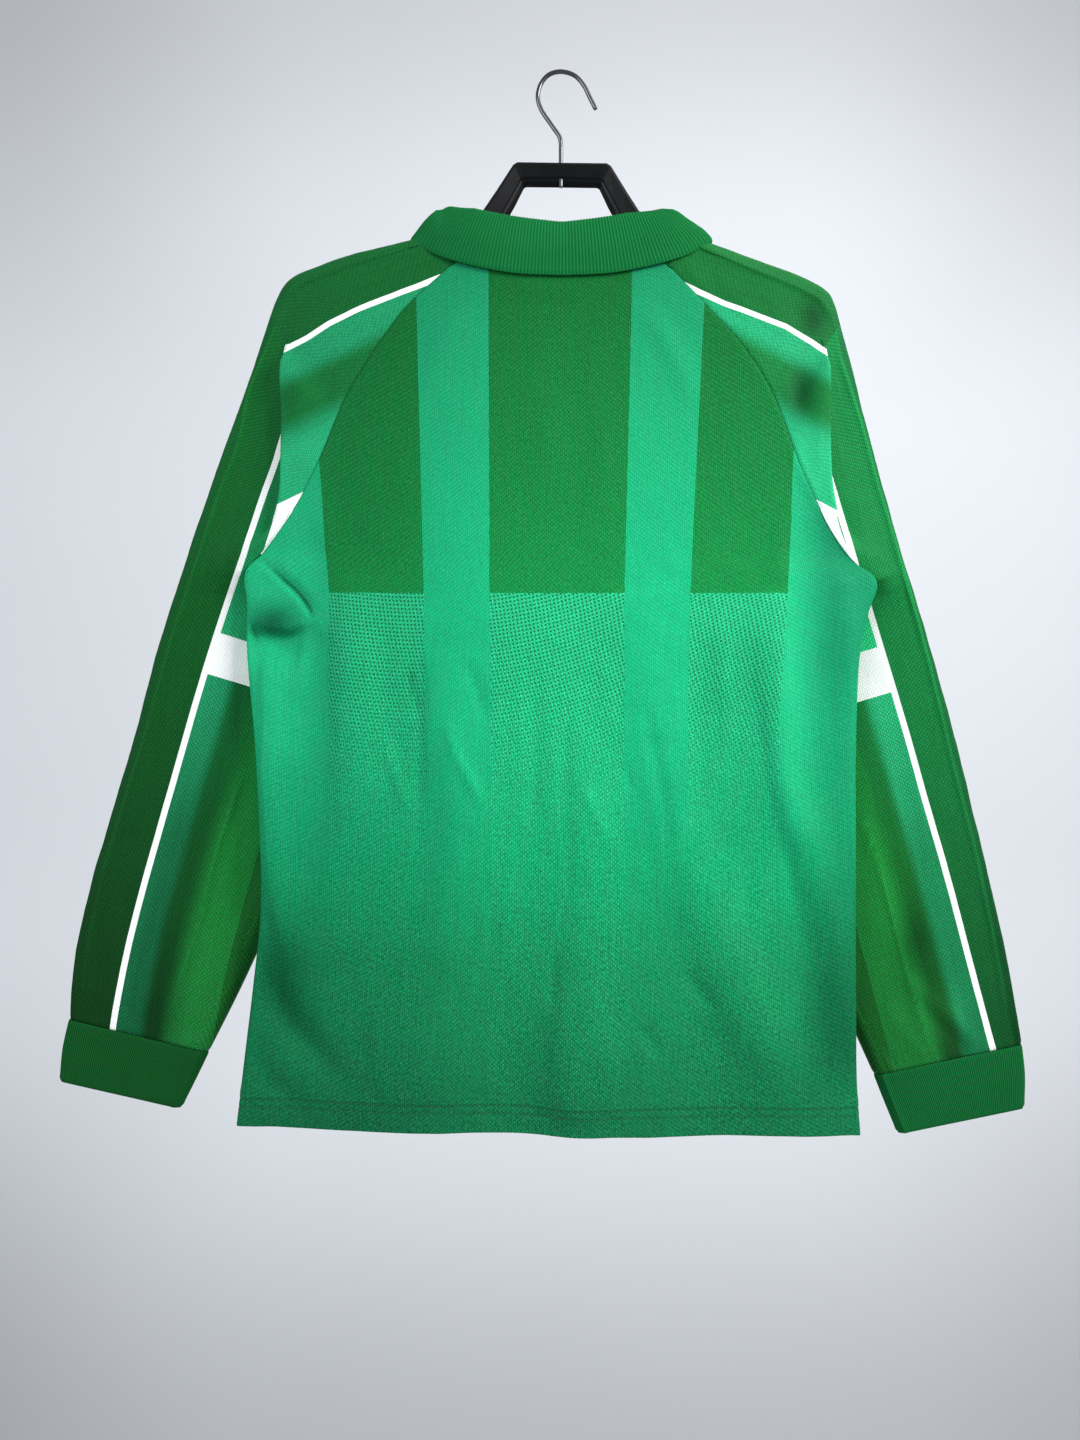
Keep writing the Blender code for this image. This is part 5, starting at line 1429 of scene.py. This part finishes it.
def make_sleeve(side):
    sgn = 1.0 if side == "left" else -1.0
    mirror = np.array([sgn, 1, 1])
    table = ARM[side]
    dense = np.arange(0, 18.001, 0.02)
    probe = sleeve_grid(table, dense, [0, 5, APEX, 17])
    length = steps(probe, 0).max(1) * 0.5 + steps(probe, 0).mean(1) * 0.5
    rows = spread(dense, length, [ARMPIT, ARMPIT + 0.5, ARMPIT + 1], PITCH * 1.25,
                  list(length[-1] - np.arange(0, 9, 1.1)))
    knots = sleeve_columns()
    G = fine_sleeve(table, rows, knots)
    # ahead of the pleat the cloth runs on without doubling back
    ja, jb = int(np.searchsorted(knots, 1.8)), int(np.searchsorted(knots, 4.2))
    t_ = ((knots[ja:jb + 1] - knots[ja]) / (knots[jb] - knots[ja]))[None, :, None]
    straight = G[:, ja:ja + 1] * (1 - t_) + G[:, jb:jb + 1] * t_
    m_ = smooth((4.35 - rows) / 0.25)[:, None, None]
    G[:, ja:jb + 1] = G[:, ja:jb + 1] * (1 - m_) + straight * m_
    first_closed = int(np.searchsorted(rows, ARMPIT + 1e-6))
    G[first_closed:, -1] = G[first_closed:, 0]
    # the outline of the arm runs on evenly past the armpit
    lo, hi = int(np.searchsorted(rows, 9.6)), int(np.searchsorted(rows, 15.0))
    soft = G.copy()
    for _ in range(24):
        soft[lo + 1:hi - 1] = 0.25 * soft[lo:hi - 2] + 0.5 * soft[lo + 1:hi - 1] + 0.25 * soft[lo + 2:hi]
    ramp_in = smooth((rows - 9.8) / 0.8) * smooth((14.8 - rows) / 0.8)
    where = np.exp(-((knots - APEX) / 3.0) ** 6)
    m_ = (ramp_in[:, None] * where[None])[..., None]
    G = G * (1 - m_) + soft * m_
    # below the armpit the tube has no step at its underarm seam
    ring_len = steps(G, 1)
    for i in range(first_closed, len(rows)):
        L = ring_len[i]
        D = min(14.0, 0.7 * dict(zip(COLS, spline(table, rows[i])[0]))["du"] + 3.0)
        D *= float(smooth((rows[i] - ARMPIT) / 1.5))
        if D < 1.0:
            continue
        j0, j1 = int(np.searchsorted(L, D)), int(np.searchsorted(L, L[-1] - D))
        A, B = G[i, j0], G[i, j1]
        tA = unit(G[i, j0 + 1] - G[i, j0 - 1])
        tB = unit(G[i, j1] - G[i, j1 - 2]) if j1 + 1 >= G.shape[1] else unit(G[i, j1 + 1] - G[i, j1 - 1])
        span = (L[-1] - L[j1]) + L[j0]
        idx = list(range(j1, G.shape[1])) + list(range(0, j0 + 1))
        tt = np.concatenate([L[j1:] - L[j1], (L[-1] - L[j1]) + L[:j0 + 1]]) / span
        h00, h10 = 2 * tt ** 3 - 3 * tt ** 2 + 1, tt ** 3 - 2 * tt ** 2 + tt
        h01, h11 = -2 * tt ** 3 + 3 * tt ** 2, tt ** 3 - tt ** 2
        curve = (h00[:, None] * B + h10[:, None] * tB * span + h01[:, None] * A + h11[:, None] * tA * span)
        G[i, idx] = curve
        G[i, -1] = G[i, 0]
    # the tube's back is one even surface
    for i in range(first_closed, len(rows)):
        G[i] = evened(G[i], knots, 7.0 * float(smooth((rows[i] - ARMPIT) / 1.2)))
    # stop short of the seam
    for i in range(first_closed):
        G[i, 0] += unit(G[i, 1] - G[i, 0]) * 0.15
        G[i, -1] += unit(G[i, -2] - G[i, -1]) * 0.15
    N = normals(G)
    if N[len(N) // 4, np.abs(knots - APEX).argmin(), 2] < 0:
        N *= -1
    N[first_closed:, 0] = N[first_closed:, -1] = unit(N[first_closed:, 0] + N[first_closed:, -1])
    over, along_ = steps(G, 1), steps(G, 0)
    W = G * mirror
    px, py = to_px(W)
    K = np.broadcast_to(knots, px.shape)
    S = np.broadcast_to(rows[:, None], px.shape)
    back = smooth((12.6 - K) / 1.6)
    pl = np.interp(S, [4, 5, 9, 10], [0, 1, 1, 0])
    edge_knot = np.interp(S, [8.9, 9.6, 10.2], [4.5, 3.4, 2.0])
    arm_zone = np.where((K > edge_knot) & (S > 4.55) & (K < 12.6), 1.0, 0.0)
    if side == "left":
        outside = px < np.interp(py, [470, 498, 514, 524, 549, 575, 640], [274, 274, 274, 272, 264, 247, 240])
    else:
        outside = px > np.interp(py, [470, 505, 520, 534, 547, 584, 640], [829, 834, 838, 842, 847.2, 866, 880])
    edge_at = (np.interp(py, [470, 498, 514, 524, 549, 575, 640], [274, 274, 274, 272, 264, 247, 240]) if side == "left" else
               np.interp(py, [470, 505, 520, 534, 547, 584, 640], [829, 834, 838, 842, 847.2, 866, 880]))
    beyond = (edge_at - px) if side == "left" else (px - edge_at)
    near_seam = (S > 8.6) & (K < 12.6) & (S < 11.2)
    arm_zone = np.where(near_seam, np.where(beyond > 0, 1.0, 0.0), arm_zone)
    arm_zone = np.where(S >= 11.2, 1.0, arm_zone)
    apart = np.where(near_seam, np.clip(beyond, -10, 10), np.where(arm_zone > 0.5, 10.0, -10.0))
    zone = arm_zone.copy()
    for _ in range(3):
        zone[1:-1] = (zone[:-2] + zone[1:-1] + zone[2:]) / 3
        zone[:, 1:-1] = (zone[:, :-2] + zone[:, 1:-1] + zone[:, 2:]) / 3
    shut = smooth((S - ARMPIT) / 1.0)
    back = back * (1 - shut) + smooth((N[..., 1] + 0.05) / 0.3) * shut
    front = (K >= 12.6)
    # print
    over_line, arm_line = STRIPE[side]
    flip = 1.0 if side == "left" else -1.0
    sa, _, _ = polyline(px, py, over_line if side == "left" else over_line)
    # positive below the stripe, towards the armpit
    sa = -sa if side == "left" else sa
    sa = np.where(np.isnan(sa), 0, sa)
    below = np.sign(np.interp(px, *zip(*sorted(over_line))) - py) * -1
    sa = np.abs(sa) * below
    sb, vb, _ = polyline(px, py, arm_line)
    sb = sb * flip
    joined = over_line[:-1] + ([(294, 372), (288, 402)] if side == "left" else [(826, 380), (825, 412)]) + arm_line
    sf, vf, _ = polyline(px, py, joined)
    sf = sf * flip
    first = steps(np.array(joined, float)[:, None], 0)[len(over_line) + 1, 0]
    vf = vf - first
    slant = (py + 0.48 * (px - 287)) if side == "left" else (py + 0.52 * (829 - px))
    s = np.where(front, sf, sb)
    v = np.where(front, vf, vb)
    kind = np.where(front, 10.0, apart)
    # relief
    ha = relief(px, py, ARM_CREASES[side])
    hf = relief(px, py, FLAP_CREASES[side])
    open_rows = S <= ARMPIT
    from_seam = np.where(open_rows, np.minimum(over, over[:, -1:] - over), 50.0)
    knot7 = np.abs(knots - 7).argmin()
    past_fold = over - over[:, knot7:knot7 + 1]
    pleated = smooth((pl - 0.55) / 0.35)
    fold_fade = 1 - pleated + pleated * smooth(past_fold / 10.0)
    flap_fade = 1 - pleated + pleated * smooth((2.9 - K) / 0.9)
    h = (zone * ha * fold_fade + (1 - zone) * hf * flap_fade) * back
    fore = smooth((K - 12.6) / 1.5) * smooth((17 - K) / 1.5) * (1 - shut) + smooth((-N[..., 1] - 0.05) / 0.3) * shut
    h += 0.8 * ha * fore
    w = 0.22 * wavy(G[..., 0], G[..., 2], 41 + int(sgn), 44.0) + 0.10 * wavy(G[..., 0], G[..., 2], 51 + int(sgn), 14.0)
    calm = smooth((17.0 - K) / 1.0) * (1 - smooth((K - 1.2) / 0.8) * smooth((8.3 - K) / 0.8) * smooth((pl - 0.5) / 0.3))
    h += w * calm * smooth((K - 0.3) / 0.8) * fold_fade
    h *= smooth(from_seam / 9.0) * smooth(along_ / 12.0)
    h -= SEAM_DIP * bell(np.where(open_rows, from_seam, 50.0), 1.4)
    down = along_[-1:] - along_
    h -= 0.8 * bell(down, 1.6)                       # the seam to the cuff
    gather = wavy(over, np.zeros_like(over), 61 + int(sgn), 13.0)
    h += 0.45 * gather * bell(down - 6.0, 9.0) * calm * smooth(K / 1.0)
    P = G + N * h[..., None]
    # painted marks: darker at the open seams and at the cuff seam, partly the dark seams and partly painted shade in
    # them
    tone = 1.0 - 0.16 * bell(from_seam, 0.8) - 0.20 * bell(down, 1.2)
    # painted highlights along the two pressed creases down the arm
    for row in ARM_CREASES[side][:2]:
        line = plain_crease(row[0], 1.3, 0.30, 0.10)
        tone = tone + fold(px, py, *line) * zone * back
    # painted shade beyond the arm's outer pressed crease, strong on the right arm
    lead_line = ARM_CREASES[side][0][0]
    off, _, _ = polyline(px, py, lead_line)
    off = -off if side == "left" else off
    tone = tone * (1 - (0.38 if side == "right" else 0.10) * smooth((off - 0.5) / 3.0) * zone * back)
    # painted light and shade on the left arm: darker across its middle low down, and lighter near the body, where the
    # body's shadow falls
    if side == "left":
        tone = tone * (1 - 0.16 * smooth((s - 6) / 10) * smooth((62 - s) / 20) * smooth((py - 740) / 90) * back)
        tone = tone * (1 + 0.62 * smooth((s - 50) / 28) * smooth((py - 640) / 60) * back)
    # darker patches on the shoulder flap: partly the print's dark band, partly painted shade where the cloth dips
    spots = ([(300, 352, 12, 26, 0.10), (290, 400, 10, 22, 0.22)] if side == "left" else
             [(813, 318, 12, 20, 0.55), (803, 392, 16, 27, 0.62), (790, 460, 9, 28, 0.16)])
    for x0, y0, wx, wy, dark_ in spots:
        tone = tone - dark_ * np.exp(-((px - x0) / wx) ** 2 - ((py - y0) / wy) ** 2) * (1 - zone) * back
    # painted shade and painted light on the folds above the right cuff
    if side == "right":
        for x0, y0, wx, wy, more in ((912, 945, 16, 34, -0.45), (950, 1010, 16, 22, 0.35)):
            tone = tone + more * np.exp(-((px - x0) / wx) ** 2 - ((py - y0) / wy) ** 2) * zone * back
    # the stripe distance and place along it, with the painted light and shade as the third value
    print_and_painted_shading = np.stack([s, v, tone], -1)
    apex = np.abs(knots - APEX).argmin()
    cloth = np.stack([sa, slant, kind], -1)
    # the knit's columns are counted from the apex both ways and meet under the arm
    oa = over[:, apex:apex + 1]
    share = 1 + (oa / (over[:, -1:] - oa) - 1) * shut[:, :1]
    weave = np.stack([np.where(over < oa, oa - over, (over - oa) * share),
                      np.broadcast_to(steps(G, 0)[:, apex:apex + 1], over.shape), np.zeros_like(over)], -1)
    N2 = normals(P)
    if N2[len(N2) // 4, apex, 2] < 0:
        N2 *= -1
    N2[first_closed:, 0] = N2[first_closed:, -1] = unit(N2[first_closed:, 0] + N2[first_closed:, -1])
    ob = shell("sleeve_%s_cloth" % side, (P * mirror, N2 * mirror), CLOTH * 0.9,
               {"print": print_and_painted_shading, "cloth": cloth, "weave": weave}, join_from=first_closed,
               material=SLEEVE_PRINT[side])
    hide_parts("sleeve_" + side)
    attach(ob, "root")
    area = real_area(P)
    w_, l_ = float(over[:, -1].max()) * MM + 0.02, float(along_.max()) * MM + 0.02
    print(side, "sleeve area", area, "box", w_, l_, area / (w_ * l_), "verts", P.size // 3)
    return ob, P * mirror, N2 * mirror, (w_, l_, area)


# ---------------------------------------------------------------- ribs
def ribbed(P, N, turns_, amount):
    """Rounded ribs: height over the rib's own cycle, flat in the valleys."""
    c = 0.5 + 0.5 * np.cos(2 * math.pi * turns_)
    return P + N * ((c ** 0.8 - 0.5) * 2 * amount)[..., None]


def make_cuff(side):
    sgn = 1.0 if side == "left" else -1.0
    mirror = np.array([sgn, 1, 1])
    last = dict(zip(COLS, ARM[side][-1]))
    tip = dict(last)
    tip.update(CUFF_LEFT if side == "left" else CUFF_RIGHT)
    mid = {k: 0.5 * (last[k] + tip[k]) for k in last}
    mid["r"], tip["r"] = 6.6, 6.2
    mid["tx"] += 1.5
    rings_ = [section([q[c] for c in COLS], True) for q in (last, mid, tip)]
    down = unit(rings_[2].mean(0) - rings_[0].mean(0))
    rings_[0] = rings_[0] + down * 0.3
    fine = np.linspace(0, LAST, 1401)
    rows = np.array([0, 0.015, 0.03, 0.05, 0.08, 0.12] + list(np.linspace(0.18, 1.86, 13))
                    + [1.9, 1.93, 1.96, 1.98, 2.0])
    base = np.array([spline(K, fine) for K in rings_])
    ref = steps(base, 1)[1]
    n_rib = int(round(ref[-1] / 1.72))
    per = 4
    at = np.interp(np.arange(n_rib * per + 1) / (n_rib * per) * ref[-1], ref, fine)
    G0 = np.array([spline(K, at) for K in rings_])
    G = np.array([spline(G0.reshape(3, -1), [r])[0].reshape(-1, 3) for r in rows])
    G[:, -1] = G[:, 0]
    for i in range(len(rows)):
        G[i] = evened(G[i], at, 8.0)
    N = normals(G)
    N[:, 0] = N[:, -1] = unit(N[:, 0] + N[:, -1])
    apex = np.abs(at - APEX).argmin()
    if N[1, apex, 0] < 0:
        N *= -1
    # each rib's place round the tube, and the length down it
    turns_ = np.broadcast_to(np.arange(G.shape[1]) / per, G.shape[:2])
    down_ = steps(G, 0)
    L = down_[-1:].mean()
    h = -0.8 * bell(down_, 1.5) + 0.25 * np.sin(math.pi * np.clip(down_ / L, 0, 1))
    tip_roll = 0.8 * bell(L - down_, 1.4)
    P = G + N * (h - tip_roll + 0.2 * bell(L - down_ - 3, 2.5))[..., None]
    P = ribbed(P, N, turns_, 0.16 * smooth(down_ / 2.5 + 0.2) * smooth((L - down_) / 1.5 + 0.3))
    weave = np.stack([np.minimum(turns_, n_rib - turns_), down_, np.ones_like(down_)], -1)
    ob = shell("cuff_%s_rib" % side, (P * mirror, N * mirror), 1.2, {"weave": weave}, join_from=0,
               material=CUFF_RIB[side])
    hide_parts("cuff_" + side)
    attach(ob, "root")
    area = real_area(P)
    print(side, "cuff area", area, "ring", ref[-1], "length", L, "verts", P.size // 3)
    # doubled rib: the flat piece is the ring by its length
    return ob, (ref[-1] * MM, L * MM, area)


def make_collar():
    T = np.asarray(COLLAR, float)
    dense_w = np.linspace(0, 4, 401)
    ring = [collar_section(w, -1) for w in dense_w[::-1]] + [collar_section(w, +1) for w in dense_w[1:]]
    G0 = np.array(ring)
    # a smooth run round the neck
    k = np.exp(-(np.arange(-14, 15) / 6.0) ** 2)
    k /= k.sum()
    pad = np.concatenate([2 * G0[:1] - G0[14:0:-1], G0, 2 * G0[-1:] - G0[-2:-16:-1]])
    G0 = sum(k[i] * pad[i:i + len(G0)] for i in range(29))
    lead = steps(G0[:, 5:6], 0)[:, 0]
    n_rib = int(round(lead[-1] / 2.7))
    per = 6
    want = np.arange(n_rib * per + 1) / (n_rib * per) * lead[-1]
    cols = np.array([[[np.interp(want, lead, G0[:, j, c]) for c in range(3)] for j in range(8)]])[0]
    K = np.moveaxis(cols, -1, 0)                                     # place, knot, xyz
    knots = np.array([0, 0.25, 0.55, 0.9, 1.3, 1.6, 1.8, 2.0, 2.2, 2.4, 2.6, 2.8, 3.0, 3.2, 3.4, 3.6, 3.8, 4.0, 4.2, 4.45,
                      4.7, 5.0, 5.3, 5.6, 5.9, 6.2, 6.45, 6.65, 6.8, 6.9, 6.96, 7.0])
    G = np.array([spline(k_, knots) for k_ in K])
    cx = to_px(G)[0]
    rear = G[..., 1] > -40
    sink = np.interp(cx, [436, 442, 449, 460, 474, 628, 650, 662, 675, 699, 712, 722],
                     [0, 4.0, 4.0, 2.6, 0, 0, 2.4, 3.2, 7.0, 7.6, 3.0, 0])
    up_leaf = smooth((6.8 - np.broadcast_to(knots, cx.shape)) / 2.4) * smooth((np.broadcast_to(knots, cx.shape) - 0.4) / 1.4)
    G[..., 2] -= sink * up_leaf * rear
    N = normals(G)
    if N[len(G) // 2, np.abs(knots - 5).argmin(), 1] < 0:
        N *= -1
    across = steps(G, 1)
    total = across[:, -1:]
    free = total - across
    turns_ = np.broadcast_to((np.arange(len(G)) / per)[:, None], G.shape[:2])
    # the free edge rolls in a little, and the leaf waves softly
    h = -1.0 * bell(free, 1.6) - 2.6 * smooth(1 - free / 26.0) * smooth((np.broadcast_to(knots, across.shape) - 4.0) / 1.5)
    leaf = smooth((np.broadcast_to(knots, across.shape) - 3.2) / 1.2)
    lead2 = np.broadcast_to(want[:, None], across.shape)
    h = h + 0.35 * wavy(lead2, across, 71, 60.0) * leaf * smooth(free / 12)
    amount = 0.30 * smooth((np.broadcast_to(knots, across.shape) - 0.3) / 1.0) * smooth(free / 1.5 + 0.35)
    P = G + N * h[..., None]
    P = ribbed(P, N, turns_, amount)
    # painted shade: the collar darker towards its left end, away from the key lamp
    tone = 0.78 + 0.22 * smooth((cx - 415) / 130) + 0 * across
    weave = np.stack([turns_, across, tone], -1)
    ob = shell("collar_rib", (P, N), 1.2, {"weave": weave}, material=COLLAR_RIB)
    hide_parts("collar")
    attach(ob, "root")
    area = real_area(P)
    print("collar area", area, "length", lead[-1], "wide", float(across[:, -1].max()), float(across[:, -1].mean()),
          "verts", P.size // 3)
    return ob, (lead[-1] * MM, float(across[:, -1].max()) * MM, area)


# ---------------------------------------------------------------- threads
def threads(name, P, N, over, up, lines, material, length=2.6, gap=0.9, radius=0.16):
    """Rows of stitches along the hem: short lengths of thread lying in their groove."""
    V, F = [], []
    ring = 6
    for k, at in enumerate(lines):
        i_lo = np.abs(up.mean(1) - at).argmin()
        path = []
        for j in range(P.shape[1]):
            # where this column is exactly that far above the edge
            col = up[:, j]
            i = int(np.clip(np.searchsorted(-col, -at), 1, len(col) - 1))
            t = (col[i - 1] - at) / max(col[i - 1] - col[i], 1e-6)
            path.append(np.concatenate([P[i - 1, j] * (1 - t) + P[i, j] * t, N[i - 1, j] * (1 - t) + N[i, j] * t]))
        path = np.array(path)
        d = np.concatenate([[0], np.cumsum(np.linalg.norm(np.diff(path[:, :3], axis=0), axis=1))])
        start = 2.0 + 0.6 * k
        while start + length < d[-1] - 2.0:
            tt = start + length * np.array([0, 0.12, 0.5, 0.88, 1.0])
            rise = np.array([-0.25, 0.02, 0.12, 0.02, -0.25])
            fat = np.array([0.7, 1.0, 1.0, 1.0, 0.7]) * radius
            C = np.array([[np.interp(t, d, path[:, c]) for c in range(6)] for t in tt])
            n = unit(C[:, 3:])
            c = C[:, :3] + n * (rise + radius * 0.6)[:, None]
            tang = unit(c[-1] - c[0])
            b = unit(np.cross(tang, n[2]))
            base = len(V)
            for m in range(5):
                for q in range(ring):
                    a = 2 * math.pi * q / ring
                    V.append(c[m] + (n[m] * math.cos(a) + b * math.sin(a)) * fat[m])
            for m in range(4):
                for q in range(ring):
                    q2 = (q + 1) % ring
                    F.append((base + m * ring + q, base + m * ring + q2, base + (m + 1) * ring + q2, base + (m + 1) * ring + q))
            F.append(tuple(base + q for q in range(ring))[::-1])
            F.append(tuple(base + 4 * ring + q for q in range(ring)))
            start += length + gap
    me = bpy.data.meshes.new(name)
    me.from_pydata((np.array(V) * MM).tolist(), [], F)
    me.shade_smooth()
    me.validate()
    ob = bpy.data.objects.new(name, me)
    bpy.context.scene.collection.objects.link(ob)
    me.materials.append(material)
    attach(ob, "root")
    return ob


# ---------------------------------------------------------------- hook
def tube(name, line, ring, material):
    """A round closed tube through points with their radii."""
    V, F = [], []
    e1 = np.array([0.0, 1.0, 0.0])
    for k, (x, y, z, r) in enumerate(line):
        a = line[max(k - 1, 0), :3]
        b = line[min(k + 1, len(line) - 1), :3]
        t = unit(b - a)
        e2 = np.cross(t, e1)
        V += [np.array([x, y, z]) + r * (math.cos(th) * e1 + math.sin(th) * e2)
              for th in np.linspace(0, 2 * math.pi, ring, endpoint=False)]
    n = len(line)
    for k in range(n - 1):
        for q in range(ring):
            q2 = (q + 1) % ring
            F.append((k * ring + q, (k + 1) * ring + q, (k + 1) * ring + q2, k * ring + q2))
    F.append(tuple(range(ring)))
    F.append(tuple((n - 1) * ring + q for q in range(ring))[::-1])
    me = bpy.data.meshes.new(name)
    me.from_pydata((np.array(V) * MM).tolist(), [], F)
    bm = bmesh.new()
    bm.from_mesh(me)
    bmesh.ops.recalc_face_normals(bm, faces=bm.faces)
    bm.to_mesh(me)
    bm.free()
    me.shade_smooth()
    me.set_sharp_from_angle(angle=math.radians(50))
    ob = bpy.data.objects.new(name, me)
    bpy.context.scene.collection.objects.link(ob)
    me.materials.append(material)
    return ob


def make_hook():
    path = spline(HOOK, np.linspace(0, len(HOOK) - 1, 150))
    tip = path[0] - path[1]
    tip = tip / np.linalg.norm(tip)
    r = WIRE / 2
    line = [(path[0][0] + tip[0] * (0.5 - 0.5 * 0) * 0, 0.0, path[0][1], r * 0.55)]
    line += [(path[0][0] - tip[0] * d, 0.0, path[0][1] - tip[1] * d, r * f) for d, f in ((0.25, 0.82), (0.7, 0.96))]
    line += [(x, 0.0, z, r) for x, z in path[1:]]
    line += [(0.9, 0.0, z, r) for z in (-66, -72, -78, -84, -90, -96.85)]
    line += [(0.9, 0.0, -96.9, 2.0), (0.9, 0.0, -97.0, 2.1), (0.9, 0.0, -97.4, 2.1), (0.9, 0.0, -97.6, 1.7)]
    ob = tube("hook_wire", np.array(line), 24, STEEL)
    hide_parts("hanger_hook")
    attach(ob, "root")
    return ob


# ---------------------------------------------------------------- build it
BODY_PRINT = body_print()
SLEEVE_PRINT = {side: sleeve_print("sleeve_print_" + side, SLEEVE_PAINTED_LIGHT[side], PATCH[side], BAND[side]) for side in ARM}
COLLAR_RIB = rib_material("collar_rib_knit", (23, 120, 60), 0.90)
# the left cuff's rib is set darker than the right's: painted shade and painted light, as shaded and lit copies of one
# rib knit
CUFF_RIB = {"left": rib_material("cuff_rib_knit_left", (18, 78, 31), 1.0, 0.42), "right": rib_material("cuff_rib_knit_right", (19, 98, 47), 1.0, 0.40)}
PLASTIC = plastic_material()
STEEL = steel_material()
GREEN_THREAD = thread_material("hem_thread", (24, 120, 72))

back_cloth = make_panel(+1)
front_cloth = make_panel(-1)
sleeves = {side: make_sleeve(side) for side in ARM}
cuffs = {side: make_cuff(side) for side in ARM}
collar = make_collar()
hook = make_hook()

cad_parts["hanger_body"].data.materials.clear()
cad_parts["hanger_body"].data.materials.append(PLASTIC)

for got, name in ((back_cloth, "back"), (front_cloth, "front")):
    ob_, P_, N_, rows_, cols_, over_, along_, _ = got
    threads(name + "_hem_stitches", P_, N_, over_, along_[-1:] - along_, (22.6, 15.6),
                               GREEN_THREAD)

# ---------------------------------------------------------------- room and camera
def cove(name, material):
    """The pale wall, running down into the floor in one sweep, with painted shade: darker away from the middle, towards
    the floor, the top and the corners.
    """
    prof = [(-2.6, z) for z in np.linspace(4.5, -0.9, 46)]
    prof += [(-2.6 + 1.5 * (1 - math.cos(a)), -0.9 - 1.5 * math.sin(a)) for a in np.radians(np.arange(4, 90, 4))]
    prof += [(y, -2.4) for y in (-1.0, -0.7, -0.4, 0.0, 0.5, 1.5, 3.0, 5.0)]
    xs = np.concatenate([[-7, -5, -3.5], np.linspace(-2.6, 2.6, 53), [3.5, 5, 7]])
    n = len(prof)
    V = [(x, y, z) for x in xs for y, z in prof]
    F = [(j * n + i, j * n + i + 1, (j + 1) * n + i + 1, (j + 1) * n + i) for j in range(len(xs) - 1) for i in range(n - 1)]
    me = bpy.data.meshes.new(name)
    me.from_pydata(V, [], F)
    me.shade_smooth()
    P = np.array(V)
    drop = (P[:, 1] + 2.6) * 0.42 - P[:, 2]                 # how far down the sweep
    right = smooth((-P[:, 0] + 0.6) / 2.0)
    # painted shade on the wall and floor: a little darker to the right, at the top, down the sweep and in the corners
    shade = (1 - 0.02 * right) * (1 - 0.14 * smooth((P[:, 2] - 0.9) / 0.8)) * (1 - 0.45 * smooth((drop - 1.48) / 1.4))
    shade *= 1 - 0.15 * smooth((np.abs(P[:, 0]) - 0.7) / 1.0) * smooth((np.abs(P[:, 2] + 0.4) - 0.7) / 0.8)
    at = me.attributes.new("shade", "FLOAT_VECTOR", "POINT")
    at.data.foreach_set("vector", np.repeat(shade.astype(np.float32), 3))
    ob = bpy.data.objects.new(name, me)
    bpy.context.scene.collection.objects.link(ob)
    me.materials.append(material)
    ob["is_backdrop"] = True
    return ob


def studio_paint():
    g = Graph("studio_paint")
    shade, _, _ = g.read("shade")
    # the paint scaled by its painted shade
    return g.finish(g.scale(srgb(*WALL_COLOUR), g.mul(shade, g.add(0.985, g.mul(g.noise(420.0, 2.0), 0.03)))), 0.9,
                    Specular_IOR_Level=0.1)


cove("studio_wall_and_floor", studio_paint())


def lamp(name, at, aim, size, power, colour=(1, 1, 1), shape="RECTANGLE"):
    data = bpy.data.lights.new(name, "AREA")
    data.shape = shape
    data.size, data.size_y = size
    data.energy = power
    data.color = colour
    ob = bpy.data.objects.new(name, data)
    bpy.context.scene.collection.objects.link(ob)
    ob.location = at
    ob.rotation_euler = (Vector(aim) - Vector(at)).to_track_quat("-Z", "Y").to_euler()
    ob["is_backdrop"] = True
    return ob


for spec in LAMPS:
    lamp(*spec)
world = bpy.data.worlds.new("studio")
world.use_nodes = True
world.node_tree.nodes["Background"].inputs[0].default_value = (*WORLD[0], 1)
world.node_tree.nodes["Background"].inputs[1].default_value = WORLD[1]
bpy.context.scene.world = world
bpy.context.scene.view_settings.view_transform = "Standard"
bpy.context.scene.view_settings.look = "None"
bpy.context.scene.view_settings.exposure = 0.0
bpy.context.scene.view_settings.gamma = 1.0

lens = bpy.data.cameras.new("camera")
lens.sensor_fit = "VERTICAL"
lens.sensor_height = 36
lens.lens = 29.07
lens.dof.use_dof = False
lens.clip_start, lens.clip_end = 0.05, 50
camera = bpy.data.objects.new("camera", lens)
bpy.context.scene.collection.objects.link(camera)
camera.location = [c * MM for c in CAMERA]
camera.rotation_euler = (math.pi / 2, 0, math.pi)
bpy.context.scene.camera = camera

LOOKS_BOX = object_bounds()


def as_list(b):
    return [[float(v) for v in p] for p in b] if hasattr(b, "__len__") else b


{"cad": as_list(CAD_BOX), "looks": as_list(LOOKS_BOX)}
